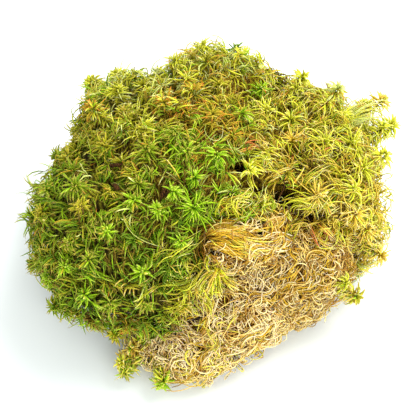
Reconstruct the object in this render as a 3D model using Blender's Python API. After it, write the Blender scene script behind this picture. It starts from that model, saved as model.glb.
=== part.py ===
"""A clump of live bog moss, lifted from the bog and set down on a table.

The clump is a springy cushion of upright moss shoots, each ending in a star-shaped head. Its own
weight has flattened the underside. At the front the cushion is turned up, so that a tangle of
bleached, straw-coloured old stems shows, with a combed hank of wet golden stems lying over its top
edge. Shoots that have worked loose stand out at the rim, and a needle and a few scraps of dead leaf
are caught in the moss.

Lengths below are in millimetres, and each object is built in metres. +Z is up, the front is -Y, and
the origin is on the table, under the middle of the clump's outline.
"""

import math
import random

import bmesh
import bpy
from mathutils import Matrix, Vector
from mathutils.bvhtree import BVHTree

MM = 0.001
GAP = 0.6  # free space between a piece and what it stands on
STRAW_GAP = 1.4  # between the cushion and the straw
CLUMP_HEART = Vector((0, 4, 34))  # shoots grow away from here
FAR = 300  # outside the clump from anywhere
CLUMP_SEED = 7

# Packed stems, as rounded lobes that grow into one another: middle, half sizes
CUSHION_LOBES = {
    "crown": ((-8, 12, 42), (58, 56, 46)),
    "left": ((-46, -4, 42), (36, 42, 35)),
    "left_brow": ((-47, -23, 34), (29, 28, 25)),
    "back_left": ((-40, 46, 48), (25, 30, 28)),
    "back": ((4, 60, 56), (32, 22, 30)),
    "back_right": ((44, 42, 46), (28, 30, 32)),
    "right": ((50, 14, 42), (32, 36, 34)),
    "right_foot": ((56, 6, 24), (27, 24, 26)),
    "front": ((-24, -20, 34), (38, 32, 31)),
}
STRAW_LOBES = {
    "wall": ((34, -15, 24), (34, 27, 35)),
    "slope": ((8, -29, 17), (28, 31, 34)),
    "toe": ((-6, -50, 9), (23, 19, 14)),
    "tongue": ((-25, -49, 7), (16, 12, 9)),
}
LOBE_GRAIN = 2.5  # size of the steps in which overlapping lobes are joined
LUMP_TRIANGLES = 3000
CUSHION_LOBE_TRIANGLES = 1300

# Star-shaped heads on the cushion
HEAD_SPAN = 17.0  # across the branches of a full-grown head
HEAD_SIZES = (0.85, 1.08)  # smallest and largest, as shares of that
HEAD_ARMS = 7
CLEFT_SHARE = 0.34  # the clefts between branches reach in to this share of the span
HEAD_SPACING = 14.0
HEAD_LIFT = 4.5  # a head's branches spread this far above the packed stems
HEAD_ROOT = 4.0  # a head's foot reaches this far into them
HEAD_TIP = 3.0  # the young branches in its middle stand this much higher
HEAD_DROOP = 0.2  # the outer tips hang back by this share of half the span
HEAD_LEAN = (0.6, 0.3, 0.25)  # how far a head follows the skin, the way outwards and the light
LOWEST_HEAD = -0.45  # sine of the lowest direction that heads grow in
HEAD_TRIES = 700
HEAD_CLEARANCE = 14.0  # table to head
LITTER_ROOM = 1.5  # what heads leave free round litter and hank, round stems and round shoots
STEM_ROOM = 4.5
SHOOT_ROOM = 2.0
CUSHION_TRIANGLES = 5500

# Loose shoots: where the head is, and its span
SHOOTS = {
    "shoot_left_low": ((-88, -12, 19), 13),
    "shoot_left_foot": ((-76, -34, 15), 13),
    "shoot_left_rim": ((-78, 36, 46), 14),
    "shoot_left_shoulder": ((-72, 62, 38), 14),
    "shoot_left_upper": ((-55, 32, 82), 14),
    "shoot_back_left": ((-62, 77, 59), 14),
    "shoot_back_left_tip": ((-48, 87, 52), 14),
    "shoot_back_left_low": ((-32, 88, 50), 14),
    "shoot_back": ((-7, 90, 67), 14),
    "shoot_back_top": ((13, 90, 67), 13),
    "shoot_back_right": ((43, 53, 83), 12),
    "shoot_right_shoulder": ((60, 44, 83), 13),
    "shoot_right_tuft": ((84, 57, 61), 15),
    "shoot_right_tuft_low": ((85, 38, 64), 15),
    "shoot_right_rim": ((78, 9, 75), 12),
    "shoot_right_low": ((81, -15, 40), 12),
    "shoot_right_foot": ((67, -33, 24), 13),
    "shoot_front_left": ((-45, -53, 17), 11),
    "shoot_front_floor": ((-41, -66, 8), 11),
    "shoot_toe": ((-23, -73, 9), 12),
    "shoot_rear_left": ((-40, 91, 30), 14),
    "shoot_rear_right": ((60, 84, 40), 14),
}
SHOOT_ARMS = 5
STEM_RADIUS = 1.2
SHOOT_BEND = 0.45  # a shoot grows straight out of the skin for this share of its reach, then turns
SHOOT_LOWEST = 0.2
# Up a shoot: share of the way, spread of its branches and their droop, as shares of half the span
SHOOT_RINGS = ((0, 0, 0), (0.4, 0, 0), (0.58, 0.62, 0.31), (0.76, 0, 0), (1, 1, 0.25))

# Golden hank: its root and its fanned end, and the way it faces
HANK_ROOT = (36, -19, 61)
HANK_TIP = (-5, -37, 63)
HANK_UP = (0.3, -0.7, 0.64)
HANK_BOW = 3.0
HANK_REACH = 40
HANK_STRANDS = 8
HANK_PITCH = (2.0, 2.6)  # between strands at the root and at the fanned end
HANK_RADIUS = 2.1
HANK_RAGGED = (0.08, 0.1)  # strands start and stop unevenly, within these shares of its length
HANK_STEPS = 7
HANK_SEED = 3
HANK_LIFT = 0.6
HANK_GRAIN = 0.4
HANK_TRIANGLES = 430

# Straw: old stems that loop out of the tangle
STRAW_HEART = Vector((8, -24, 14))
STRAW_LOWEST = -0.3  # sine of the lowest direction they are spread over
STRAND_TRIES = 110
STRAND_RADIUS = 1.1
STRAND_TAPER = 0.6  # thickness near the ends, as a share of the middle's
STRAND_LENGTH = (16, 26)
STRAND_CURL = 1.4
STRAND_STEPS = 5
STRAND_LIFT = 1.4  # its ends dive this far under the skin
STRAND_ARCH = 2.2  # its middle stands this many times as far above its ends
STRAND_CLEARANCE = 2.5  # to the cushion
STRAND_ROOM = 3.5  # to litter and hank
STRAW_GRAIN = 0.8
STRAW_TRIANGLES = 1350

# Litter: plan places of the two ends, and the thickness
NEEDLE = ((-11, -50), (-1, -52), 0.9)
NEEDLE_LIFT = 1.8
LITTER_STEPS = 4
SCRAPS = {
    "leaf_scrap_long": ((-48, 0), (-37, -3), 1.6),
    "leaf_scrap_fork": ((-44, -10), (-41, -15), 2.4),
    "leaf_scrap_middle": ((-22, -20), (-18, -15), 2.2),
}
SCRAP_LIFT = 5.5  # scraps are caught among the heads, this far above the packed stems

MOSS_GREEN = (0.19, 0.25, 0.02)
SHOOT_GREEN = (0.30, 0.33, 0.04)
STRAW_PALE = (0.56, 0.42, 0.16)
HANK_GOLD = (0.55, 0.34, 0.06)
LITTER_BROWN = (0.05, 0.02, 0.01)


def clear_scene():
    for obj in list(bpy.data.objects):
        bpy.data.objects.remove(obj)


def material(name, colour, roughness):
    made = bpy.data.materials.new(name)
    made.use_nodes = True
    shader = made.node_tree.nodes["Principled BSDF"]
    shader.inputs["Base Color"].default_value = (*colour, 1)
    shader.inputs["Roughness"].default_value = roughness
    shader.inputs["Metallic"].default_value = 0
    return made


def new_object(name, bm):
    """A named object made from the shape in bm."""
    mesh = bpy.data.meshes.new(name)
    bm.to_mesh(mesh)
    bm.free()
    obj = bpy.data.objects.new(name, mesh)
    bpy.context.scene.collection.objects.link(obj)
    return obj


def work_in_modifiers(obj):
    graph = bpy.context.evaluated_depsgraph_get()
    graph.update()
    mesh = bpy.data.meshes.new_from_object(obj.evaluated_get(graph))
    obj.modifiers.clear()
    obj.data = mesh


def thin_out(obj, triangles):
    """Fewer, larger triangles, with the sharp tips kept."""
    count = sum(len(face.vertices) - 2 for face in obj.data.polygons)
    fewer = obj.modifiers.new("fewer", "DECIMATE")
    fewer.ratio = min(1, triangles / count)
    work_in_modifiers(obj)


def grown_together(name, bm, grain, triangles):
    """One closed skin round all the shapes in bm."""
    obj = new_object(name, bm)
    skin = obj.modifiers.new("skin", "REMESH")
    skin.mode = "VOXEL"
    skin.voxel_size = grain * MM
    work_in_modifiers(obj)
    thin_out(obj, triangles)
    return obj


def add_lobes(bm, lobes):
    for middle, half_sizes in lobes.values():
        place = Matrix.Translation(Vector(middle) * MM)
        size = Matrix.Diagonal((*(Vector(half_sizes) * MM), 1))
        bmesh.ops.create_icosphere(bm, subdivisions=4, radius=1, matrix=place @ size)


def packed_stems(name, lobes, triangles):
    bm = bmesh.new()
    add_lobes(bm, lobes)
    return grown_together(name, bm, LOBE_GRAIN, triangles)


def combine(obj, other, operation):
    """Joins the other object to this one, or cuts it away."""
    cut = obj.modifiers.new("combine", "BOOLEAN")
    cut.operation = operation
    cut.object = other
    cut.use_self = True
    work_in_modifiers(obj)
    bpy.data.objects.remove(other)


def drop_flakes(obj):
    """Removes pairs of faces that lie back to back on the same corners."""
    bm = bmesh.new()
    bm.from_mesh(obj.data)
    bmesh.ops.triangulate(bm, faces=bm.faces[:])
    by_corners = {}
    for face in bm.faces:
        by_corners.setdefault(frozenset(face.verts), []).append(face)
    flakes = [face for faces in by_corners.values() if len(faces) > 1 for face in faces]
    bmesh.ops.delete(bm, geom=flakes, context="FACES")
    bm.to_mesh(obj.data)
    bm.free()


def room_for(obj):
    """The object's own shape, a little larger all round: what a neighbour leaves free."""
    bm = bmesh.new()
    bm.from_mesh(obj.data)
    bm.normal_update()
    for vert in bm.verts:
        vert.co += vert.normal * STRAW_GAP * MM
    return new_object("room", bm)


def cut_flat_at_table(obj):
    """The clump's weight presses its underside flat."""
    bm = bmesh.new()
    bm.from_mesh(obj.data)
    whole = bm.verts[:] + bm.edges[:] + bm.faces[:]
    bmesh.ops.bisect_plane(bm, geom=whole, plane_co=(0, 0, 0), plane_no=(0, 0, 1), clear_inner=True)
    rim = [edge for edge in bm.edges if edge.is_boundary]
    bmesh.ops.holes_fill(bm, edges=rim, sides=0)
    bmesh.ops.triangulate(bm, faces=bm.faces[:])
    bmesh.ops.recalc_face_normals(bm, faces=bm.faces[:])
    bm.to_mesh(obj.data)
    bm.free()


class Ground:
    """What pieces rest on: the skins of the cushion and the straw, in millimetres."""

    def __init__(self, objects):
        self.trees = []
        for obj in objects:
            bm = bmesh.new()
            bm.from_mesh(obj.data)
            self.trees.append(BVHTree.FromBMesh(bm))
            bm.free()

    def first_hit(self, start, direction):
        """Place and normal where a line of sight first meets the ground, or None."""
        best = None
        for tree in self.trees:
            place, normal, _, distance = tree.ray_cast(start * MM, direction)
            if place is not None and (best is None or distance < best[2]):
                best = (place / MM, normal, distance)
        return best and best[:2]

    def under(self, x, y):
        return self.first_hit(Vector((x, y, FAR)), Vector((0, 0, -1)))

    def nearest(self, place):
        """Nearest place on the ground, its normal and how far it is."""
        place, normal, _, distance = min(
            (tree.find_nearest(place * MM) for tree in self.trees), key=lambda found: found[3])
        return place / MM, normal, distance / MM


def star(arms, inner, outer):
    """Radii of a ring whose points stand out in turn: branch tips and the clefts between them."""
    return [outer, inner] * arms


def add_loft(bm, foot, rings, tip):
    """One closed body through rings, from a foot point to a tip point.

    A ring is its middle, its axis, the radii of its points in turn, and how far its outermost points
    hang back.
    """
    loops = []
    side = rings[0][1].orthogonal()
    for middle, axis, radii, droop in rings:
        side = (side - side.dot(axis) * axis).normalized()
        across = axis.cross(side)
        loop = []
        for i, radius in enumerate(radii):
            angle = 2 * math.pi * i / len(radii)
            spoke = math.cos(angle) * side + math.sin(angle) * across
            back = droop if radius > min(radii) else 0
            loop.append(bm.verts.new((middle + radius * spoke - back * axis) * MM))
        loops.append(loop)
    first = bm.verts.new(foot * MM)
    last = bm.verts.new(tip * MM)
    count = len(loops[0])
    for i in range(count):
        j = (i + 1) % count
        bm.faces.new((first, loops[0][j], loops[0][i]))
        bm.faces.new((last, loops[-1][i], loops[-1][j]))
        for low, high in zip(loops, loops[1:]):
            bm.faces.new((low[i], low[j], high[j], high[i]))


def add_strand(bm, places, radius, sides):
    """A tapered strand through the places, thickest in its middle."""
    rings = []
    for i in range(1, len(places) - 1):
        along = (places[i + 1] - places[i - 1]).normalized()
        share = i / (len(places) - 1)
        thick = radius * (STRAND_TAPER + (1 - STRAND_TAPER) * math.sin(math.pi * share))
        rings.append((places[i], along, [thick] * sides, 0))
    add_loft(bm, places[0], rings, places[-1])


def ball_directions(count, lowest):
    """Directions spread evenly over a ball by the golden angle, from straight up down to a lowest sine."""
    turn = math.pi * (3 - math.sqrt(5))
    for i in range(count):
        height = 1 - (i + 0.5) * (1 - lowest) / count
        width = math.sqrt(1 - height * height)
        yield Vector((width * math.cos(i * turn), width * math.sin(i * turn), height))


def shoot_path(ground, head):
    """From a shoot's foot, just off the ground, to its head: three places of a smooth bend."""
    inward = (CLUMP_HEART - head).normalized()
    place, normal = ground.first_hit(head, inward)
    foot = place + GAP * normal
    bend = foot + SHOOT_BEND * (head - foot).length * normal
    return foot, bend, head


def along_bend(path, share):
    foot, bend, head = path
    return (1 - share) ** 2 * foot + 2 * share * (1 - share) * bend + share ** 2 * head


def heading_along(path, share):
    foot, bend, head = path
    return ((1 - share) * (bend - foot) + share * (head - bend)).normalized()


def make_shoot(name, path, span):
    foot = path[0]
    half = span / 2
    rings = []
    for share, spread, droop in SHOOT_RINGS:
        axis = heading_along(path, share)
        inner = STEM_RADIUS if share < 1 else CLEFT_SHARE * half
        radii = star(SHOOT_ARMS, inner, max(STEM_RADIUS, spread * half))
        rings.append((along_bend(path, share), axis, radii, droop * half))
    bm = bmesh.new()
    add_loft(bm, foot, rings, path[2] + HEAD_TIP * rings[-1][1])
    for vert in bm.verts:
        vert.co.z = max(vert.co.z, SHOOT_LOWEST * MM)
    return new_object(name, bm)


def head_places(ground, cushion_ground, taken):
    """Where heads stand on the cushion: evenly spaced, clear of the straw, the hank, shoots and litter."""
    chosen = []
    for direction in ball_directions(HEAD_TRIES, LOWEST_HEAD):
        start = CLUMP_HEART + FAR * direction
        place, normal = ground.first_hit(start, -direction)
        if cushion_ground.nearest(place)[2] > GAP or place.z < HEAD_CLEARANCE:
            continue
        if any((place - other).length < HEAD_SPACING for other, _ in chosen):
            continue
        if any((place - other).length < room for other, room in taken):
            continue
        along_skin, outwards, upwards = HEAD_LEAN
        lean = along_skin * normal + outwards * direction + Vector((0, 0, upwards))
        chosen.append((place, lean.normalized()))
    return chosen


def add_heads(bm, places, rng):
    for place, axis in places:
        half = HEAD_SPAN / 2 * rng.uniform(*HEAD_SIZES)
        middle = place + HEAD_LIFT * axis
        ring = (middle, axis, star(HEAD_ARMS, CLEFT_SHARE * half, half), HEAD_DROOP * half)
        add_loft(bm, place - HEAD_ROOT * axis, [ring], middle + HEAD_TIP * axis)


def straw_strands(straw_ground, cushion_ground, taken, rng):
    """Old stems that rise out of the tangle, run over it and dive back in."""
    for direction in ball_directions(STRAND_TRIES, STRAW_LOWEST):
        start = STRAW_HEART + FAR * direction
        hit = straw_ground.first_hit(start, -direction)
        if hit is None:
            continue
        place, normal = hit
        heading = Vector((rng.uniform(-1, 1), rng.uniform(-1, 1), rng.uniform(-1, 1)))
        length = rng.uniform(*STRAND_LENGTH)
        curl = rng.uniform(-STRAND_CURL, STRAND_CURL)
        heading = (heading - heading.dot(normal) * normal).normalized()
        sideways = normal.cross(heading)
        places = []
        for i in range(STRAND_STEPS + 1):
            share = i / STRAND_STEPS
            run = length * (share - 0.5)
            at = place + run * heading + curl * run * run / length * sideways
            skin, up, _ = straw_ground.nearest(at)
            places.append(skin + STRAND_LIFT * (STRAND_ARCH * math.sin(math.pi * share) - 1) * up)
        if min(cushion_ground.nearest(at)[2] for at in places) < STRAND_CLEARANCE:
            continue
        if min(at.z for at in places) < STRAND_RADIUS:
            continue
        if any((at - other).length < STRAND_ROOM for at in places for other in taken):
            continue
        yield places


def hank_strands(ground, rng):
    """Golden stems combed side by side over the cushion's front edge, fanning out towards their tips."""
    root = Vector(HANK_ROOT)
    tip = Vector(HANK_TIP)
    up = Vector(HANK_UP).normalized()
    across = up.cross(tip - root).normalized()
    for k in range(HANK_STRANDS):
        aside = k - (HANK_STRANDS - 1) / 2
        first = rng.uniform(0, HANK_RAGGED[0])
        last = 1 - rng.uniform(0, HANK_RAGGED[1])
        spots = []
        heights = []
        for i in range(HANK_STEPS + 1):
            share = first + (last - first) * i / HANK_STEPS
            pitch = HANK_PITCH[0] + (HANK_PITCH[1] - HANK_PITCH[0]) * share
            bow = HANK_BOW * math.sin(math.pi * share)
            spot = root.lerp(tip, share) + (aside * pitch + bow) * across
            skin, _ = ground.first_hit(spot + HANK_REACH * up, -up)
            spots.append(spot)
            heights.append((skin - spot).dot(up))
        places = []
        for i, spot in enumerate(spots):
            height = max(heights[max(0, i - 1):i + 2])
            places.append(spot + (height + HANK_RADIUS + HANK_LIFT) * up)
        yield places


def litter_places(ground, start, end, lifts):
    """A needle or scrap lies between two plan places, lifted off the ground at each end."""
    ends = []
    for spot, lift in zip((start, end), lifts):
        skin, up = ground.under(*spot)
        ends.append(skin + lift * up)
    return [ends[0].lerp(ends[1], i / LITTER_STEPS) for i in range(LITTER_STEPS + 1)]


def dress(obj, surface):
    obj.data.materials.clear()
    obj.data.materials.append(surface)
    for face in obj.data.polygons:
        face.use_smooth = False


def centre_on_outline():
    """Moves the whole clump so that the origin is under the middle of its outline."""
    corners = [vert.co for obj in bpy.data.objects for vert in obj.data.vertices]
    middle = Vector((0, 0, 0))
    for axis in (0, 1):
        sides = [corner[axis] for corner in corners]
        middle[axis] = (min(sides) + max(sides)) / 2
    for obj in bpy.data.objects:
        obj.data.transform(Matrix.Translation(-middle))


def all_litter(ground):
    """Each piece of litter by name: its places and its radius."""
    litter = {}
    start, end, thick = NEEDLE
    litter["dark_needle"] = (litter_places(ground, start, end, (NEEDLE_LIFT, NEEDLE_LIFT)), thick / 2)
    for name, (start, end, thick) in SCRAPS.items():
        litter[name] = (litter_places(ground, start, end, (thick, SCRAP_LIFT)), thick / 2)
    return litter


def room_kept_free(lumps, resting):
    """Places that heads keep away from, each with how far."""
    taken = [(place, HEAD_SPAN / 2 + LITTER_ROOM) for place in resting]
    for head, span in SHOOTS.values():
        path = shoot_path(lumps, Vector(head))
        for share in (0, 0.2, 0.4):
            taken.append((along_bend(path, share), HEAD_SPAN / 2 + STEM_ROOM))
        for share in (0.6, 0.8, 1):
            taken.append((along_bend(path, share), (HEAD_SPAN + span) / 2 + SHOOT_ROOM))
    return taken


def make_straw(straw_ground, cushion_ground, resting, rng):
    bm = bmesh.new()
    add_lobes(bm, STRAW_LOBES)
    for places in straw_strands(straw_ground, cushion_ground, resting, rng):
        add_strand(bm, places, STRAND_RADIUS, sides=6)
    return grown_together("straw_tangle", bm, STRAW_GRAIN, STRAW_TRIANGLES)


def make_cushion(heads, straw, rng):
    cushion = packed_stems("moss_cushion", CUSHION_LOBES, CUSHION_LOBE_TRIANGLES)
    bm = bmesh.new()
    add_heads(bm, heads, rng)
    combine(cushion, new_object("heads", bm), "UNION")
    combine(cushion, room_for(straw), "DIFFERENCE")
    thin_out(cushion, CUSHION_TRIANGLES)
    drop_flakes(cushion)
    return cushion


def make_shoots(ground, surface):
    for name, (head, span) in SHOOTS.items():
        shoot = make_shoot(name, shoot_path(ground, Vector(head)), span)
        dress(shoot, surface)


def make_hank(ground, surface):
    bm = bmesh.new()
    for places in hank_strands(ground, random.Random(HANK_SEED)):
        add_strand(bm, places, HANK_RADIUS, sides=8)
    dress(grown_together("golden_hank", bm, HANK_GRAIN, HANK_TRIANGLES), surface)


def make_litter(ground, surface):
    for name, (places, radius) in all_litter(ground).items():
        bm = bmesh.new()
        add_strand(bm, places, radius, sides=6)
        dress(new_object(name, bm), surface)


def make_clump():
    rng = random.Random(CLUMP_SEED)

    # The lumps of packed stems, before their heads and strands, carry everything else
    cushion_lump = packed_stems("cushion_lump", CUSHION_LOBES, LUMP_TRIANGLES)
    straw_lump = packed_stems("straw_lump", STRAW_LOBES, LUMP_TRIANGLES)
    lumps = Ground([cushion_lump, straw_lump])
    cushion_ground = Ground([cushion_lump])
    straw_ground = Ground([straw_lump])
    bpy.data.objects.remove(cushion_lump)
    bpy.data.objects.remove(straw_lump)

    resting = [place for places, _ in all_litter(lumps).values() for place in places]
    for places in hank_strands(lumps, random.Random(HANK_SEED)):
        resting += places
    taken = room_kept_free(lumps, resting)

    straw = make_straw(straw_ground, cushion_ground, resting, rng)
    cushion = make_cushion(head_places(lumps, cushion_ground, taken), straw, rng)
    cut_flat_at_table(cushion)
    cut_flat_at_table(straw)
    dress(cushion, material("living_moss", MOSS_GREEN, 0.6))
    dress(straw, material("bleached_stems", STRAW_PALE, 0.7))

    # The rest stands on the finished skins
    ground = Ground([cushion, straw])
    make_shoots(ground, material("loose_shoot", SHOOT_GREEN, 0.6))
    make_hank(ground, material("golden_stems", HANK_GOLD, 0.55))
    make_litter(ground, material("dead_leaf", LITTER_BROWN, 0.8))
    centre_on_outline()


clear_scene()
make_clump()
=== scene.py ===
# %% [markdown]
# # A clump of live bog moss
# Bog moss grows in cushions of upright shoots. Every shoot ends in a star-shaped head of short
# branches, and lower down it carries bunches of longer branches, which fade to straw as they die.
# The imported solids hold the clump's size, its lumps and its heads in rough form. This script grows
# the real surface on them: tens of thousands of small curved branches, coloured from root to tip.

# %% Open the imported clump
import math

import bpy
import numpy as np
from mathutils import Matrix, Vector
from mathutils.bvhtree import BVHTree


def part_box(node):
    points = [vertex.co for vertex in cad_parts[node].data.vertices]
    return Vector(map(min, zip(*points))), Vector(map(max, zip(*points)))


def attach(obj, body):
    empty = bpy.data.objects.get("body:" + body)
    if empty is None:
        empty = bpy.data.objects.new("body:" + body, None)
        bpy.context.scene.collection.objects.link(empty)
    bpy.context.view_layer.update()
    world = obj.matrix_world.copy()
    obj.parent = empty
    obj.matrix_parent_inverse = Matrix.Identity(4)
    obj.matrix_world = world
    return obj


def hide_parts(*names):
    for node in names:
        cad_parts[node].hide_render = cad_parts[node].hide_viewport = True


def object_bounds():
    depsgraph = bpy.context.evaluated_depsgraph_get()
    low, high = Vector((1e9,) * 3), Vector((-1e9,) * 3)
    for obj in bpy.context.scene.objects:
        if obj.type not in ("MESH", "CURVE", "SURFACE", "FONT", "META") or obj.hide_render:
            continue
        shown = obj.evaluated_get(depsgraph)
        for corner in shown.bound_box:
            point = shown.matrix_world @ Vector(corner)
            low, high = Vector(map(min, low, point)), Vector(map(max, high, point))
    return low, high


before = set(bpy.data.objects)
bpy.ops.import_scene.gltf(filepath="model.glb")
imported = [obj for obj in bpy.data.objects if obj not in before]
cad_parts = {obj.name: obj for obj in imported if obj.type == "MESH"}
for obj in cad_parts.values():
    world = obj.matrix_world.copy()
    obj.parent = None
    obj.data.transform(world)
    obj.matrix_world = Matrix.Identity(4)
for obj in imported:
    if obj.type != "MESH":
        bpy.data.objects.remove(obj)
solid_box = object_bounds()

MM = 0.001
UP = np.array([0, 0, 1.0])
scene = bpy.context.scene
print("solid box in mm:", [round(size / MM, 1) for size in solid_box[1] - solid_box[0]])

# %% [markdown]
# ## The camera first
# The photograph looks down at the clump at about 50 degrees. The camera comes first here, because
# the heads that stand out in the photograph are placed along its lines of sight, and colours change
# from one side of the picture to the other. An 81 mm lens from 45 cm gives the same framing.

# %% Camera
PHOTO_SIDE = 416  # pixels
LENS, SENSOR = 81, 36
LOOK_DOWN = math.radians(50)
AIM = np.array([0.54, -9.68, 45.0]) * MM
BACK_BY, RIGHT_BY, UP_BY = 450, -1.44, 2.4  # millimetres from the aim
VIEW_BACK = np.array([0, -math.cos(LOOK_DOWN), math.sin(LOOK_DOWN)])
VIEW_UP = np.array([0, math.sin(LOOK_DOWN), math.cos(LOOK_DOWN)])
VIEW_RIGHT = np.array([1.0, 0, 0])
EYE = AIM + (BACK_BY * VIEW_BACK + RIGHT_BY * VIEW_RIGHT + UP_BY * VIEW_UP) * MM

bpy.ops.object.camera_add(location=EYE, rotation=(math.pi / 2 - LOOK_DOWN, 0, 0))
scene.camera = bpy.context.object
scene.camera.data.lens = LENS
scene.camera.data.sensor_width = SENSOR
print("camera at", [round(float(part / MM)) for part in EYE], "mm")

# %% From places to pixels and back
HALF = PHOTO_SIDE / 2
PIXELS = PHOTO_SIDE * LENS / SENSOR  # in the picture, for a thing as wide as it is far


def unit(vectors):
    return vectors / np.linalg.norm(vectors, axis=-1, keepdims=True)


def on_photo(places):
    """Pixel columns and rows, from the top left corner, where places appear."""
    seen = places - EYE
    depth = -(seen @ VIEW_BACK)
    return HALF + PIXELS * (seen @ VIEW_RIGHT) / depth, HALF - PIXELS * (seen @ VIEW_UP) / depth


def line_of_sight(column, row):
    """Direction in which the camera sees a pixel."""
    aside, above = (column - HALF) / PIXELS, (HALF - row) / PIXELS
    return unit(aside * VIEW_RIGHT + above * VIEW_UP - VIEW_BACK)


print("the middle of the aim shows at", [round(float(v)) for v in on_photo(AIM)])

# %% [markdown]
# ## Floor and light
# The clump lies on a white sheet in soft, bright light, so the ground is almost burnt out and only
# a pale, cool shadow shows at the left. A white world gives the even light. One broad lamp from the
# upper right and behind gives the branches their lit edges, and a second one lights the front. The
# sheet is a plain plane.

# %% Small tools for materials
def deselect():
    if bpy.context.object and bpy.context.object.mode != "OBJECT":
        bpy.ops.object.mode_set(mode="OBJECT")
    bpy.ops.object.select_all(action="DESELECT")


def linear(hex_colour):
    """An sRGB hex colour as linear red, green and blue."""
    parts = [int(hex_colour[i:i + 2], 16) / 255 for i in (1, 3, 5)]
    return [part / 12.92 if part <= 0.04045 else ((part + 0.055) / 1.055) ** 2.4 for part in parts]


def add_node(tree, kind, settings=(), links=()):
    """A shader node with its settings, and inputs linked from sockets or from nodes' first ones."""
    node = tree.nodes.new("ShaderNode" + kind)
    for name, value in dict(settings).items():
        if isinstance(name, str) and hasattr(node, name):
            setattr(node, name, value)
        else:
            node.inputs[name].default_value = value
    for name, source in dict(links).items():
        tree.links.new(getattr(source, "outputs", (source,))[0], node.inputs[name])
    return node


def new_material(name, sockets):
    """A material with some of its shader's own sockets set."""
    made = bpy.data.materials.new(name)
    made.use_nodes = True
    shader = made.node_tree.nodes["Principled BSDF"]
    for socket, value in sockets.items():
        shader.inputs[socket].default_value = value
    return made, made.node_tree, shader


# Matt drawing paper: no shine, and a slightly cool white that shows only where it is shaded.
PAPER = (*linear("#dfe6e7"), 1)
paper = new_material("white_paper_sheet", {"Base Color": PAPER, "Roughness": 0.9})[0]
print(paper.name, "made")

# %% Floor, lamps and world
LAMPS = {
    # name: place and width in metres, watts, colour
    "window": ((0.5, 0.4, 0.9), 0.7, 14.5, (1, 0.985, 0.95)),
    "front": ((0.25, -0.9, 0.5), 0.8, 10.0, (1, 0.99, 0.96)),
}
deselect()
bpy.ops.mesh.primitive_plane_add(size=4, location=(0, 0, 0))
floor = bpy.context.object
floor.name = "white_sheet"
floor.data.materials.append(paper)

scene.view_settings.view_transform = "Standard"
scene.world = bpy.data.worlds.new("white_room")
scene.world.use_nodes = True
background = scene.world.node_tree.nodes["Background"]
background.inputs["Color"].default_value = (1, 0.995, 0.98, 1)
background.inputs["Strength"].default_value = 1.02

for name, (place, width, watts, colour) in LAMPS.items():
    bpy.ops.object.light_add(type="AREA", location=place)
    lamp = bpy.context.object
    lamp.name = name
    lamp.data.size = width
    lamp.data.energy = watts
    lamp.data.color = colour
    lamp.rotation_euler = Vector(place).to_track_quat("Z", "Y").to_euler()
print("floor, world and", len(LAMPS), "lamps")

# %% [markdown]
# ## A skin to grow from
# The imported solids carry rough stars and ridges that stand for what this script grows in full. A
# branch should start from the even body under them. So each solid is copied, remeshed to small even
# cells and smoothed, and rays and nearest places are then looked up on that copy.

# %% Smooth copies of the solids
def edit(obj, *steps):
    """Runs steps in edit mode on all of an object."""
    deselect()
    obj.select_set(True)
    bpy.context.view_layer.objects.active = obj
    bpy.ops.object.mode_set(mode="EDIT")
    bpy.ops.mesh.select_all(action="SELECT")
    for step in steps:
        step()
    bpy.ops.object.mode_set(mode="OBJECT")


def copy_of_node(node, name):
    """A merged copy of a CAD node, active and selected."""
    copy = bpy.data.objects.new(name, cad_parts[node].data.copy())
    scene.collection.objects.link(copy)
    edit(copy, lambda: bpy.ops.mesh.remove_doubles(threshold=0.01 * MM),
         lambda: bpy.ops.mesh.normals_make_consistent(inside=False))
    copy.data.materials.clear()
    return copy


def apply_modifier(obj, kind, **settings):
    modifier = obj.modifiers.new(kind.lower(), kind)
    for name, value in settings.items():
        setattr(modifier, name, value)
    bpy.context.view_layer.objects.active = obj
    bpy.ops.object.modifier_apply(modifier=modifier.name)


def smoothed(node, name, grain, rounds):
    bed = copy_of_node(node, name)
    apply_modifier(bed, "REMESH", mode="VOXEL", voxel_size=grain * MM)
    apply_modifier(bed, "SMOOTH", factor=0.5, iterations=rounds)
    print(name, len(bed.data.polygons), "faces")
    return bed


moss_bed = smoothed("moss_cushion", "moss_bed", 2.6, 14)
straw_bed = smoothed("straw_tangle", "straw_bed", 2.2, 8)
hank_bed = smoothed("golden_hank", "hank_bed", 1.6, 4)

# %% Skins that can be looked up
def mesh_arrays(obj):
    """Points and triangle corners of an object."""
    obj.data.calc_loop_triangles()
    found = []
    for items, name, kind in ((obj.data.vertices, "co", float),
                              (obj.data.loop_triangles, "vertices", int)):
        values = np.empty(len(items) * 3, kind)
        items.foreach_get(name, values)
        found.append(values.reshape(-1, 3))
    return found


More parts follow.
